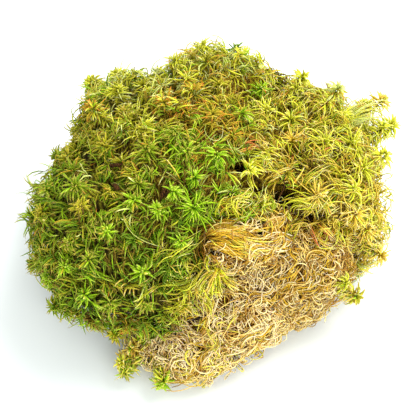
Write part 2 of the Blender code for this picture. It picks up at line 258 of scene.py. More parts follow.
class Skin:
    """A surface that can be looked for along a line, touched at its nearest place, or sown."""

    def __init__(self, obj):
        points, corners = mesh_arrays(obj)
        self.tree = BVHTree.FromPolygons(points.tolist(), corners.tolist())
        self.triangles = points[corners]

    def first_hit(self, start, direction):
        place, normal, _, distance = self.tree.ray_cast(Vector(start), Vector(direction))
        return None if place is None else (np.array(place), np.array(normal), distance)

    def nearest(self, points):
        """Nearest place and normal for each point, and how far away it is."""
        found = [self.tree.find_nearest(Vector(point)) for point in points.reshape(-1, 3)]
        places, normals, _, away = (np.array(column) for column in zip(*found))
        shape = points.shape
        return places.reshape(shape), normals.reshape(shape), away.reshape(shape[:-1])

    def sow(self, count, rng):
        """Places spread evenly over the surface, with their normals."""
        a, b, c = (self.triangles[:, i] for i in range(3))
        normals = np.cross(b - a, c - a)
        areas = np.linalg.norm(normals, axis=1)
        chosen = rng.choice(len(areas), count, p=areas / areas.sum())
        s, t = np.sqrt(rng.random((count, 1))), rng.random((count, 1))
        places = (1 - s) * a[chosen] + s * (1 - t) * b[chosen] + s * t * c[chosen]
        return places, unit(normals[chosen])


moss_skin, straw_skin = Skin(moss_bed), Skin(straw_bed)
hank_skin = Skin(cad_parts["golden_hank"])


def seen_from(start, direction):
    """The nearest hit on the skins: place, normal, distance and the skin, or None."""
    hits = [(skin.first_hit(start, direction), skin) for skin in (moss_skin, straw_skin, hank_skin)]
    hits = [(*hit, skin) for hit, skin in hits if hit]
    return min(hits, key=lambda hit: hit[2]) if hits else None


print("skins of", len(moss_skin.triangles), "and", len(straw_skin.triangles), "triangles")

# %% [markdown]
# ## The bed of packed stems
# Between the heads one looks down on old, dark stems, and in a few places into deep clefts. The bed
# is the same smooth copy, drawn in by some millimetres along its normals and roughened with clouds,
# so it closes the gaps under the branches. The clefts are ellipses in the photograph. The points of
# the bed that show inside one are pushed away from the camera, which needs no cutting.
# Shade is also painted into the colour of the beds, darkest in the middle of each cleft and hollow.

# %% Clefts seen in the photograph
CLEFTS = (
    # middle and half sizes in pixels, slope in degrees
    ((284, 194), (14, 8), 25), ((252, 184), (13, 6), 30), ((240, 167), (6, 4), 0),
    ((308, 219), (6, 4), 40), ((283, 228), (5, 4), 0),
)
HOLLOWS = (
    ((197, 330), (8, 5), -20), ((225, 301), (7, 5), 0), ((243, 297), (5, 4), 0),
    ((228, 335), (8, 4), 15), ((198, 347), (7, 4), 0), ((268, 297), (5, 4), 0),
    ((300, 268), (6, 4), 30), ((259, 235), (6, 3), 20),
)
CLEFT_DEPTH, HOLLOW_DEPTH = 15, 4  # millimetres


def in_cleft(places, margin=1.0, clefts=CLEFTS):
    """Whether each place shows inside one of some ellipses, widened by the margin."""
    columns, rows = on_photo(places)
    inside = np.zeros(len(places), bool)
    for (column, row), (wide, high), slope in clefts:
        turn = math.radians(slope)
        x = (columns - column) * math.cos(turn) + (rows - row) * math.sin(turn)
        y = (rows - row) * math.cos(turn) - (columns - column) * math.sin(turn)
        inside |= (x / wide) ** 2 + (y / high) ** 2 < margin ** 2
    return inside


print(len(CLEFTS), "clefts in the moss and", len(HOLLOWS), "hollows in the straw")

# %% Draw the beds in and sink the clefts
def draw_in(bed, depth, lump_size, lump_height):
    """Moves a bed inwards and roughens it: all sizes in millimetres."""
    apply_modifier(bed, "DISPLACE", strength=-depth * MM, mid_level=0)
    lumps = bpy.data.textures.new(bed.name + "_lumps", "CLOUDS")
    lumps.noise_scale = lump_size * MM
    apply_modifier(bed, "DISPLACE", texture=lumps, strength=lump_height * MM, mid_level=0.5)
    for vertex in bed.data.vertices:
        vertex.co.z = max(vertex.co.z, 0.4 * MM)
    deselect()
    bed.select_set(True)
    bpy.context.view_layer.objects.active = bed
    bpy.ops.object.shade_smooth()


def hollow_out(bed, clefts, depth, lowest):
    """Sinks a bed where clefts show, above a lowest height in millimetres."""
    points = mesh_arrays(bed)[0]
    facing = np.array([vertex.normal @ Vector(VIEW_BACK) for vertex in bed.data.vertices]) > 0
    seen = in_cleft(points, 1.0, clefts) & facing & (points[:, 2] > lowest * MM)
    for index in np.flatnonzero(seen):
        bed.data.vertices[index].co -= Vector(VIEW_BACK) * depth * MM
    bed.data.update()
    print(int(seen.sum()), "points of", bed.name, "sunk in clefts")


draw_in(moss_bed, 4.4, 6, 3.6)
hollow_out(moss_bed, CLEFTS, CLEFT_DEPTH, 45)
draw_in(straw_bed, 3.4, 4, 3)
hollow_out(straw_bed, HOLLOWS, HOLLOW_DEPTH, 5)
draw_in(hank_bed, 1.8, 3, 1.5)

# %% The finish of packed stems
# The beds turn paler towards the upper right. This is partly a real change from green to tan and
# partly painted light: lighter where light comes through the moss, darker on the shaded left.
BED_CHANGE = (5 * MM, 85 * MM)  # X + Z where the left colours give way to the right ones
CLOT_STOPS = (0.36, 0.52, 0.72)
BUMP_HEIGHT = 1 * MM


def colour_ramp(tree, source, stops):
    """A value turned to colours, by stops of a place and a linear colour."""
    ramp = add_node(tree, "ValToRGB", links={"Fac": source})
    elements = ramp.color_ramp.elements
    for place, colour in stops:
        elements.new(place).color = (*colour, 1)
    elements.remove(elements[-1])
    elements.remove(elements[0])
    return ramp.outputs["Color"]


def darkened(tree, place, spots, least):
    """Painted shade: how much light is left at each place, the least near the middle of a spot."""
    left = None
    for spot, radius in spots:
        away = add_node(tree, "VectorMath", {"operation": "DISTANCE", 1: tuple(spot)}, {0: place})
        share = add_node(tree, "MapRange", {1: 0.8 * radius, 2: 1.5 * radius, 3: least},
                         {0: away.outputs["Value"]})
        links = {0: share, 1: left} if left else {0: share}
        left = add_node(tree, "Math", {"operation": "MULTIPLY", 1: 1.0}, links)
    return left


def bed_material(name, left, right, grain, spots=(), least=0.3):
    """Matted dead stems: dull, torn into flecks and short strands, with no shine. Grain is the
    size of a fleck in millimetres, a few stems together, as single ones are too fine to show. Spots
    are painted shade: near the middle of each, the colour is darkened down to the share least."""
    made, tree, shader = new_material(name, {"Roughness": 0.9, "Specular IOR Level": 0.15})
    place = add_node(tree, "TexCoord").outputs["Object"]
    clots = add_node(tree, "TexNoise", {"Scale": 1 / (grain * MM), "Detail": 6.0, "Roughness": 0.7},
                     {"Vector": place})
    strands = add_node(tree, "TexWave", {"Scale": 0.3 / (grain * MM), "Distortion": 11.0,
                                         "Detail": 2.0}, {"Vector": place})
    both = add_node(tree, "Math", {"operation": "MULTIPLY_ADD", 1: 0.3},
                    {0: strands.outputs["Fac"], 2: clots.outputs["Fac"]})
    matted = add_node(tree, "Math", {"operation": "SUBTRACT", 1: 0.15}, {0: both})
    parts = add_node(tree, "SeparateXYZ", links={"Vector": place}).outputs
    # The left colours are mixed into the right ones along X + Z: real colour and painted light
    # together.
    height = add_node(tree, "Math", {"operation": "ADD"}, {0: parts["X"], 1: parts["Z"]})
    side = add_node(tree, "MapRange", {1: BED_CHANGE[0], 2: BED_CHANGE[1]}, {"Value": height})
    sides = [colour_ramp(tree, matted, zip(CLOT_STOPS, map(linear, colours)))
             for colours in (left, right)]
    mix = add_node(tree, "Mix", {"data_type": "RGBA"}, {0: side, 6: sides[0], 7: sides[1]})
    colour = mix.outputs[2]
    # Painted shade: the colour is darkened round the clefts and hollows.
    if spots:
        shade = darkened(tree, place, spots, least)
        shaded = add_node(tree, "VectorMath", {"operation": "SCALE"}, {0: colour, 3: shade})
        colour = shaded.outputs[0]
    tree.links.new(colour, shader.inputs["Base Color"])
    bump = add_node(tree, "Bump", {"Strength": 0.8, "Distance": BUMP_HEIGHT}, {"Height": matted})
    tree.links.new(bump.outputs["Normal"], shader.inputs["Normal"])
    return made


print("matted stems change colour over", [round(edge / MM) for edge in BED_CHANGE], "mm")

# %% Colour the beds
# Moss bed: dull and dark at the lower left, pale and tan at the upper right. Each is partly its own
# colour and partly painted shade and light.
DULL_MOSS_IN_SHADE = ("#1e1805", "#4c4c10", "#848422")
PALE_MOSS_IN_LIGHT = ("#503a08", "#94781a", "#baa030")
OLD_STRAW = ("#70420a", "#b07a20", "#d8ac50")
WET_STRAW = ("#4a2a08", "#8c5c14", "#c08e2c")


def shadows(clefts, depth):
    """Places and radii of the shade painted into the clefts, two for each."""
    found = []
    for (column, row), (wide, high), slope in clefts:
        for shift in ((wide - high) / 2, (high - wide) / 2):
            x, y = shift * math.cos(math.radians(slope)), shift * math.sin(math.radians(slope))
            hit = seen_from(EYE, line_of_sight(column + x, row + y))
            found.append((hit[0] - 0.6 * depth * MM * VIEW_BACK, 1.5 * high * hit[2] / PIXELS))
    return found


painted_moss_shadows, painted_straw_shadows = shadows(CLEFTS, CLEFT_DEPTH), shadows(HOLLOWS, HOLLOW_DEPTH)
BEDS = {
    # node: bed, slot, and its material: name, colours at the left and right, grain, painted shadows
    "moss_cushion": (moss_bed, "living_moss",
                     ("packed_dark_stems", DULL_MOSS_IN_SHADE, PALE_MOSS_IN_LIGHT, 2.0, painted_moss_shadows, 0.26)),
    "straw_tangle": (straw_bed, "bleached_stems",
                     ("packed_old_straw", OLD_STRAW, OLD_STRAW, 1.6, painted_straw_shadows, 0.55)),
    "golden_hank": (hank_bed, "golden_stems",
                    ("packed_wet_straw", WET_STRAW, WET_STRAW, 1.2, painted_straw_shadows[-2:])),
}
for node, (bed, slot, finish) in BEDS.items():
    bed.data.materials.append(bed_material(*finish))
    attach(bed, "root")
    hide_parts(node)
print(len(painted_moss_shadows) + len(painted_straw_shadows), "shadows in", len(BEDS), "beds")

# %% [markdown]
# ## One branch, modelled once
# A moss branch is a stem hidden under overlapping leaves, so from outside it is a slender tapering
# blade. It repeats some thirty thousand times, so it has three sides and few rings. A triangle is
# extruded ring by ring, each ring is scaled to the blade's width there, and the end is merged to a
# point. The curl and the strand are the same with more rings, because they have to bend further.

# %% Model the blade, the curl and the strand
BLADE_RINGS = ((0, 0.55), (0.2, 0.95), (0.48, 1.0), (0.76, 0.7))
CURL_RINGS = ((0, 0.7), (0.16, 1.0), (0.33, 1.0), (0.5, 0.95), (0.67, 0.8), (0.84, 0.6))
STRAND_RINGS = ((0, 0.75), (0.13, 1.0), (0.26, 1.0), (0.39, 1.0), (0.52, 0.95), (0.65, 0.9),
                (0.78, 0.75), (0.9, 0.55))


def model_blade(name, rings):
    """A closed blade along +Z, one unit long and about one unit in radius."""
    deselect()
    bpy.ops.mesh.primitive_circle_add(vertices=3, radius=rings[0][1], fill_type="NGON",
                                      location=(0, 0, 0))
    model = bpy.context.object
    model.name = name

    def raise_end(step):
        bpy.ops.mesh.extrude_region_move(TRANSFORM_OT_translate={"value": (0, 0, step)})

    def draw_out():
        for (low, wide), (high, narrow) in zip(rings, rings[1:]):
            raise_end(high - low)
            ratio = narrow / wide
            bpy.ops.transform.resize(value=(ratio, ratio, 1), center_override=(0, 0, high))
        raise_end(1 - rings[-1][0])
        bpy.ops.mesh.merge(type="CENTER")
        bpy.ops.mesh.select_all(action="SELECT")

    edit(model, draw_out, bpy.ops.mesh.quads_convert_to_tris,
         lambda: bpy.ops.mesh.normals_make_consistent(inside=False))
    return model


class Pattern:
    """A blade's points as height levels and offsets, ready to be laid along a path."""

    def __init__(self, model):
        points, self.corners = mesh_arrays(model)
        self.levels, self.level_of = np.unique(points[:, 2].round(4), return_inverse=True)
        self.offsets = points[:, :2]
        bpy.data.objects.remove(model)
        print(len(self.levels), "levels,", len(self.corners), "triangles")


blade = Pattern(model_blade("blade", BLADE_RINGS))
curl = Pattern(model_blade("curl", CURL_RINGS))
strand = Pattern(model_blade("strand", STRAND_RINGS))

# %% [markdown]
# ## Growing many branches at once
# Every branch is described by where it starts, where it heads, which way it bends, how far it turns
# and how thick it is. A growth collects those for many branches. Its paths are worked out together,
# the pattern is laid along each, and all of them are joined in one mesh. Each branch also gets a
# tone. The UV map holds how far along the branch a corner is, and that tone, so one material can
# colour every branch from root to tip. Some branches are left out again: those that would close a
# cleft, hide a scrap of leaf, or reach past the clump's real outline.

# %% Which branches stay
BARE = (
    # just outside the clump's outline: middle and half sizes in pixels, slope in degrees
    ((247, 371), (46, 12), -32), ((348, 302), (34, 11), -41), ((392, 197), (13, 26), 0),
    ((308, 73), (44, 10), 23), ((41, 164), (21, 8), 111), ((20, 236), (9, 18), 0),
    ((50, 309), (26, 9), 57),
)
STRAW_FACE = (((262, 276), (30, 15), -25), ((240, 318), (34, 14), -30))
CLEARED = (
    # where few branches may lie, margin, share of the branches that stay
    (CLEFTS, 0.9, 0.15), (HOLLOWS, 0.7, 0.35), (BARE, 1.0, 0.1),
)
LITTER = {
    # node: half sizes in pixels, slope in degrees
    "leaf_scrap_long": ((6, 4.5), 0), "leaf_scrap_fork": ((6, 4.5), 0),
    "leaf_scrap_middle": ((6, 4.5), 0), "dark_needle": ((9, 1.8), -14),
}
REACH = np.array(solid_box) + np.array([[-4.5, -4.5, -1], [4.5, 4.5, 2.4]]) * MM
FEW = 20  # a piece of fewer branches may cross litter


def hides_litter(places):
    """Whether each place is seen in front of the needle or a scrap of leaf."""
    hides = np.zeros(len(places), bool)
    for node, (half, slope) in LITTER.items():
        middle = np.mean(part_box(node), axis=0)
        over = in_cleft(places, 1.0, ((on_photo(middle), half, slope),))
        hides |= over & ((places - middle) @ VIEW_BACK > 0)
    return hides


def which_stay(paths, cleared):
    """Whether each branch stays: in the clump's reach, off the litter, by chance over clefts."""
    def touched(over):
        return over.reshape(paths.shape[:2]).any(1)

    places = paths.reshape(-1, 3)
    chance = np.random.default_rng(len(paths)).random(len(paths))
    kept = ~touched(hides_litter(places)) | (len(paths) < FEW)
    kept &= ((paths > REACH[0]) & (paths < REACH[1])).all((1, 2))
    for ellipses, margin, share in cleared:
        kept &= ~touched(in_cleft(places, margin, ellipses)) | (chance < share)
    return kept


print("branches may reach", [[round(float(part / MM)) for part in corner] for corner in REACH])

# %% Bend many paths at once
def walk(directions, lengths, levels):
    """Paths from the origin that follow directions, one for each level."""
    steps = np.diff(levels)[None, :, None] * lengths[:, None, None]
    moves = (directions[:, 1:] + directions[:, :-1]) / 2 * steps
    return np.concatenate([np.zeros((len(lengths), 1, 3)), np.cumsum(moves, axis=1)], axis=1)


def bent_paths(roots, headings, bends, lengths, turns, sways, levels):
    """Paths that leave along a heading and turn towards a bend direction, more so near the tip."""
    headings = unit(headings)
    bends = unit(bends - (bends * headings).sum(-1, keepdims=True) * headings)
    sides = np.cross(headings, bends)
    angles = (turns[:, None] * levels ** 1.2)[..., None]
    directions = np.cos(angles) * headings[:, None] + np.sin(angles) * bends[:, None]
    directions = unit(directions + (sways[:, None] * levels)[..., None] * sides[:, None])
    return roots[:, None] + walk(directions, lengths, levels), sides


print("a path has", [len(pattern.levels) for pattern in (blade, curl, strand)], "places")

# %% Join branches in one mesh
TONE_WIDTH = 0.0012
ALONG_MARGIN = 0.02
FLOOR_GAP = 0.3 * MM
NEVER_ZERO = 1e-9


def finish_piece(name, points, corners, uv, material):
    """A mesh object from arrays, with its UV map and material, riding on the clump."""
    mesh = bpy.data.meshes.new(name)
    mesh.vertices.add(len(points))
    mesh.vertices.foreach_set("co", points.ravel())
    mesh.loops.add(corners.size)
    mesh.loops.foreach_set("vertex_index", corners.ravel().astype(np.int32))
    mesh.polygons.add(len(corners))
    mesh.polygons.foreach_set("loop_start", np.arange(0, corners.size, 3, dtype=np.int32))
    mesh.polygons.foreach_set("use_smooth", np.ones(len(corners), bool))
    mesh.uv_layers.new(name="OFBake").data.foreach_set("uv", uv.ravel())
    mesh.update(calc_edges=True)
    mesh.materials.append(material)
    piece = bpy.data.objects.new(name, mesh)
    scene.collection.objects.link(piece)
    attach(piece, "root")
    print(name, len(corners), "triangles")
    return piece


class Growth:
    """Branches of one pattern, to be joined in one mesh."""

    def __init__(self, pattern):
        self.pattern = pattern
        self.parts = []

    def add(self, paths, sides, thick, tones):
        self.parts.append((paths, sides, thick, tones))

    def add_bent(self, roots, headings, bends, lengths, turns, sways, thick, tones):
        paths, sides = bent_paths(roots, headings, bends, lengths, turns, sways,
                                  self.pattern.levels)
        self.add(paths, sides, thick, tones)

    def join(self, name, material, slot, cleared=CLEARED):
        """One mesh of closed branches, with few of them over what is to be cleared."""
        parts = [np.concatenate(part) for part in zip(*self.parts)]
        kept = which_stay(parts[0], cleared)
        paths, sides, thick, tones = (part[kept] for part in parts)
        pattern = self.pattern
        paths[..., 2] = np.maximum(paths[..., 2], thick[:, None] + FLOOR_GAP)
        tangents = unit(np.gradient(paths, axis=1) + NEVER_ZERO)
        sides = sides[:, None] - (sides[:, None] * tangents).sum(-1, keepdims=True) * tangents
        sides = unit(sides + NEVER_ZERO)
        across = np.cross(tangents, sides)
        level = pattern.level_of
        x, y = pattern.offsets[:, 0, None], pattern.offsets[:, 1, None]
        rounds = x * sides[:, level] + y * across[:, level]
        points = paths[:, level] + thick[:, None, None] * rounds
        first = np.arange(len(paths))[:, None, None] * len(level)
        corners = (pattern.corners[None] + first).reshape(-1, 3)
        uv = np.empty((len(paths), len(pattern.corners), 3, 2))
        uv[..., 0] = ALONG_MARGIN + (1 - 2 * ALONG_MARGIN) * pattern.levels[level][pattern.corners]
        uv[..., 1] = tones[:, None, None] + TONE_WIDTH * np.array([-1, 0, 1])
        return finish_piece(name, points.reshape(-1, 3), corners, uv.reshape(-1, 2), material)


print("tones are", 2 * TONE_WIDTH, "wide on the UV map")

# %% [markdown]
# ## Colours: what a living branch looks like
# A living branch is green where it leaves the stem and dries towards its tip, to yellow, tan or
# rust red. Old branches are the colour of straw. Each kind of branch has three colours, for its
# root, its middle and its tip. The tone picks the kind, and within a kind how light it is. Three
# colour ramps hold the kinds side by side, and the place along the branch mixes the three ramps.

# %% Kinds of branches
MOSS_KINDS = {
    "stem": ("#30180a", "#5c3818", "#8e6030"),
    # deep and hollow are darker kinds for branches low in the cushion and in hollows. They are
    # partly their own duller colour and partly painted shade.
    "hollow": ("#4a3a0e", "#705a18", "#987c28"),
    "deep": ("#42600f", "#648812", "#8a9c30"),
    "fresh": ("#68a010", "#9ac018", "#c2cc56"),
    "leaf": ("#647e0e", "#869a1a", "#b89c48"),
    "olive": ("#7c7c0e", "#a8a41e", "#ccac4a"),
    "rust": ("#8c8410", "#bca42a", "#cc5a22"),
    "lime": ("#b0b012", "#d6d83a", "#eee488"),
    "gold": ("#be9c14", "#e2c450", "#f0de98"),
    # pale is partly the branches' own pale lime and partly painted light: the glow of thin branches
    # lit from behind.
    "pale": ("#a6b048", "#d0d878", "#ecec9e"),
    "flushed": ("#ccaa48", "#d27440", "#ecdc98"),
}
STRAW_KINDS = {
    "brown": ("#80500e", "#b88836", "#deb864"),
    "straw": ("#b47a18", "#f2d27a", "#fdeaaa"),
    "bleached": ("#be8c30", "#fae4a6", "#fff4d0"),
    "golden": ("#84580a", "#cea220", "#f0d04e"),
    "grey": ("#8e6a30", "#d2b478", "#f0dcac"),
    "greenish": ("#94901c", "#e4d84e", "#faf084"),
}
DARKEST = 0.58  # of a kind's full lightness
SEAM = 0.004  # between two kinds on a ramp
OFF_SEAM = 0.04


def kind_tones(kinds, names, lightness):
    """Tone of each branch from the name of its kind and how light it is, from 0 to 1."""
    places = {name: i for i, name in enumerate(kinds)}
    number = np.array([places[name] for name in names])
    return (number + OFF_SEAM + (1 - 2 * OFF_SEAM) * np.clip(lightness, 0, 1)) / len(kinds)


def kind_stops(kinds, part):
    """Ramp stops with each kind's colour for one part of the branch, from dark to light."""
    for i, colours in enumerate(kinds.values()):
        light = np.array(linear(colours[part]))
        yield (i + SEAM) / len(kinds), light * DARKEST
        yield (i + 1 - SEAM) / len(kinds), light


print(len(MOSS_KINDS), "kinds of living branch and", len(STRAW_KINDS), "of straw")

# %% The finish of living and of dead branches
ROOT_TO_MIDDLE, MIDDLE_TO_TIP = (0.02, 0.5), (0.55, 0.97)
LEAF_SHADE = (0.86, 1.06)
GLOW_RADII = (0.6, 0.8, 0.2)


def branch_material(name, kinds, leaf_rows, roughness, glow):
    """Coloured from root to tip by kind, with faint rows of painted shade and light where one leaf
    overlaps the next. Real rows are 0.3 mm apart, too fine to show, so they are drawn about three
    times as far apart."""
    made, tree, shader = new_material(name, {
        "Roughness": roughness, "Specular IOR Level": 0.15, "Subsurface Weight": glow,
        "Subsurface Radius": GLOW_RADII, "Subsurface Scale": 1 * MM})
    place = add_node(tree, "UVMap", {"uv_map": "OFBake"})
    parts = add_node(tree, "SeparateXYZ", links={"Vector": place}).outputs
    root, middle, tip = (colour_ramp(tree, parts["Y"], kind_stops(kinds, part))
                         for part in range(3))
    up, out = (add_node(tree, "MapRange", {1: start, 2: end, "interpolation_type": "SMOOTHSTEP"},
                        {"Value": parts["X"]}) for start, end in (ROOT_TO_MIDDLE, MIDDLE_TO_TIP))
    low = add_node(tree, "Mix", {"data_type": "RGBA"}, {0: up, 6: root, 7: middle})
    full = add_node(tree, "Mix", {"data_type": "RGBA"}, {0: out, 6: low.outputs[2], 7: tip})
    # Painted shade and light in rows along the branch.
    turns = add_node(tree, "Math", {"operation": "MULTIPLY", 1: leaf_rows * 2 * math.pi},
                     {0: parts["X"]})
    wave = add_node(tree, "Math", {"operation": "SINE"}, {0: turns})
    rows = add_node(tree, "MapRange", {1: -1, 2: 1, 3: LEAF_SHADE[0], 4: LEAF_SHADE[1]},
                    {"Value": wave})
    leaves = add_node(tree, "VectorMath", {"operation": "SCALE"}, {0: full.outputs[2], 3: rows})
    tree.links.new(leaves.outputs[0], shader.inputs["Base Color"])
    return made


# Live bog moss is wet and its leaves are one cell thick, so light glows through them and they
# barely shine. Dead stems have dried: they let less light through and scatter it more evenly.
living_moss = branch_material("living_sphagnum", MOSS_KINDS, 9, 0.65, 0.5)
dry_straw = branch_material("bleached_sphagnum_stems", STRAW_KINDS, 14, 0.7, 0.3)
print(living_moss.name, "and", dry_straw.name)

# %% [markdown]
# ## Which kind grows where
# One side of the clump is deep green and its middle fresh green, the far top turns olive and rusty,
# and towards the straw the moss bleaches to lime and gold. Soft round patches, named for where they
# lie, say how often each kind grows there. A branch takes its mixture from the patches around it.

# %% Patches of kinds
# Each patch: middle and reach in pixels of the photograph, and how many of each kind.
MOSS_PATCHES = {
    "left side": ((80, 200), 62, dict(leaf=5, olive=3, fresh=1.5, deep=1)),
    "left foot": ((95, 290), 55, dict(leaf=3, fresh=3, deep=3, olive=2, hollow=0.5)),
    "middle": ((190, 190), 44, dict(fresh=6, leaf=3, deep=1)),
    "below the middle": ((160, 255), 34, dict(fresh=3, leaf=4, deep=1.5, lime=1)),
    "upper left": ((120, 120), 44, dict(olive=5, leaf=1, rust=1.5, lime=5)),
    "rusty top": ((205, 112), 34, dict(rust=5, olive=4, lime=2)),
    "back edge": ((220, 58), 42, dict(lime=4, olive=2, leaf=1, gold=1, pale=3)),
    "back left": ((130, 78), 30, dict(lime=3, olive=2, fresh=1, pale=5)),
    "yellow middle": ((275, 120), 38, dict(lime=5, olive=2, rust=1.5, gold=2)),
    "upper right": ((345, 125), 46, dict(lime=7, rust=2, gold=3, pale=1)),
    "right shoulder": ((332, 96), 16, dict(rust=5, lime=4, olive=2)),
    # The dim middle is painted shade: the darker kinds grow more often there.
    "dim middle": ((150, 240), 26, dict(deep=6, hollow=3, leaf=2)),
    "right side": ((345, 200), 46, dict(gold=7, lime=3, rust=1)),
    "right foot": ((345, 255), 42, dict(gold=9, lime=1.5, rust=0.6, pale=2)),
    "right tuft": ((378, 112), 24, dict(lime=12, pale=8, fresh=1)),
    "top left stars": ((98, 84), 16, dict(fresh=6, lime=6, leaf=2)),
    "top star": ((240, 47), 12, dict(fresh=10, deep=3)),
    "grey tuft": ((388, 246), 10, dict(olive=12, pale=6)),
    "front left shoots": ((126, 358), 20, dict(lime=12, gold=10, fresh=8)),
    "by the cleft": ((265, 185), 30, dict(lime=4, gold=2, fresh=1, pale=2)),
    "below the hank": ((205, 290), 26, dict(lime=6, gold=4)),
    "toe": ((165, 378), 18, dict(lime=8, gold=5)),
}
STRAW_PATCHES = {
    "under the hank": ((270, 285), 34, dict(straw=4, bleached=3, brown=2)),
    "right of the hank": ((315, 275), 34, dict(golden=3, straw=4, brown=2, bleached=1)),
    "middle": ((240, 310), 36, dict(bleached=5, straw=4, brown=0.7, golden=0.6)),
    "right foot": ((310, 310), 34, dict(straw=3, grey=3, brown=1.5, bleached=5)),
    "by the needle": ((195, 315), 30, dict(greenish=4, bleached=4, straw=2)),
    "cobwebby patch": ((171, 350), 12, dict(grey=2, bleached=4)),
    "toe": ((190, 370), 34, dict(greenish=3, bleached=6, straw=3)),
}
STRAY = 0.01  # chance of a kind that no patch near a place holds


def pick_kinds(places, rng, kinds=MOSS_KINDS, patches=MOSS_PATCHES):
    """A kind of branch for each place, drawn from the patches around it."""
    columns, rows = on_photo(places)
    names = list(kinds)
    common = {name for _, _, mixture in patches.values() for name in mixture}
    chances = np.tile([STRAY * (name in common) for name in names], (len(places), 1))
    for (column, row), reach, mixture in patches.values():
        near = np.exp(-((columns - column) ** 2 + (rows - row) ** 2) / reach ** 2)
        for name, share in mixture.items():
            chances[:, names.index(name)] += near * share / sum(mixture.values())
    sums = np.cumsum(chances / chances.sum(1, keepdims=True), axis=1)
    picks = (rng.random((len(places), 1)) > sums).sum(1)
    return [names[min(pick, len(names) - 1)] for pick in picks]


print(len(MOSS_PATCHES) + len(STRAW_PATCHES), "patches")

# %% [markdown]
# ## The star-shaped heads
# A head is a tuft of young branches in whorls: short, thick and upright in the middle, longer and
# arching outwards round it, and hanging at the rim. The heads that one can pick out in the
# photograph are placed along the camera's line of sight. The rest of the cushion, sides
# and back too, is filled with heads at even distances. Every random step has its own seed, so the
# same clump grows each time.

# %% Where the moss is weak
SEEDS = {"heads": 11, "bunches": 21, "wisps": 31, "straw": 41, "curls": 51, "frizz": 61,
         "hank": 72, "locks": 81, "shoots": 91}
WEAK_COLUMN, WEAK_ROW, WEAK_SLANT, WEAK_BLUR = 243, 200, 0.45, 26  # a slanting line
FAR_ROW, FAR_BLUR, FAR_WEAKNESS = 82, 8, 0.6  # the far edge
TOP_ROW, TOP_WEAKNESS = 95, 0.35  # the weak side is firmer above this row


def wilt(places):
    """0 among the firm green shoots, 1 among the weak bleached ones at the right and far off."""
    columns, rows = on_photo(places)
    past_line = columns - WEAK_COLUMN + WEAK_SLANT * (rows - WEAK_ROW)
    right = 1 / (1 + np.exp(-past_line / WEAK_BLUR))
    far = 1 / (1 + np.exp((rows - FAR_ROW) / FAR_BLUR))
    return np.maximum(right * np.where(rows > TOP_ROW, 1.0, TOP_WEAKNESS), FAR_WEAKNESS * far)


print("wilt at the aim:", wilt(AIM[None]).round(2))

# %% Heads picked out in the photograph
SEEN_HEADS = (
    # column, row, width in pixels, kind
    (193, 207, 40, "fresh"), (216, 159, 32, "fresh"), (195, 181, 22, "fresh"),
    (176, 193, 24, "fresh"), (161, 212, 25, "fresh"), (134, 205, 27, "fresh"),
    (141, 185, 32, "leaf"), (79, 188, 32, "leaf"), (149, 152, 28, "leaf"), (176, 137, 28, "leaf"),
    (188, 153, 22, "leaf"), (211, 121, 30, "rust"), (165, 108, 28, "rust"), (125, 118, 26, "olive"),
    (96, 107, 28, "leaf"), (72, 132, 26, "olive"), (62, 156, 24, "leaf"), (83, 210, 24, "olive"),
    (107, 232, 26, "fresh"), (73, 243, 26, "leaf"), (142, 272, 34, "fresh"), (146, 303, 24, "leaf"),
    (187, 85, 30, "lime"), (217, 90, 24, "olive"), (258, 93, 24, "fresh"), (263, 115, 30, "lime"),
    (296, 94, 26, "lime"), (323, 108, 32, "lime"), (337, 120, 26, "lime"), (348, 147, 34, "lime"),
    (358, 171, 36, "lime"), (247, 171, 26, "lime"), (293, 146, 32, "gold"), (315, 197, 30, "gold"),
    (66, 266, 24, "fresh"), (90, 262, 24, "leaf"), (110, 300, 26, "leaf"), (88, 296, 22, "fresh"),
    (350, 215, 28, "gold"), (340, 282, 24, "lime"), (362, 230, 24, "gold"), (240, 62, 24, "lime"),
    (105, 150, 26, "olive"), (112, 195, 24, "olive"), (48, 215, 24, "olive"), (52, 190, 22, "leaf"),
    (180, 240, 24, "fresh"), (348, 192, 26, "lime"),
)
SEEN_LIFT = 2.4  # millimetres over the skin
FACING_CAMERA = 0.35


def seen_heads():
    """Each head: place on the skin, axis, half the width, kind and lift."""
    heads = []
    for column, row, width, kind in SEEN_HEADS:
        hit = seen_from(EYE, line_of_sight(column, row))
        if hit:
            place, normal, distance, _ = hit
            axis = unit(0.55 * normal + FACING_CAMERA * VIEW_BACK + 0.2 * UP)
            heads.append((place, axis, width / 2 * distance / PIXELS, kind, SEEN_LIFT))
    return heads


heads = seen_heads()
print(len(heads), "heads seen in the photograph")

# %% Heads that fill the rest of the cushion
HEART = np.array([0.5, -5.7, 34]) * MM
TRIES = 2600
HEAD_GAP = (11.5, 16.0)
HEAD_HALF = (5.6, 8.6)
HEAD_LIFT = 0.4
LOWEST_HEAD = 9
OFF_HANK, OFF_STRAW = 5, 3
COVER = 1.62  # 2 would go all the way down
rng = np.random.default_rng(SEEDS["heads"])


def outward_directions():
    """Directions spread evenly round the clump's heart, down to a little below level."""
    golden = math.pi * (3 - math.sqrt(5))
    for i in range(TRIES):
        height = 1 - (i + 0.5) * COVER / TRIES
        width = math.sqrt(1 - height * height)
        yield np.array([width * math.cos(i * golden), width * math.sin(i * golden), height])


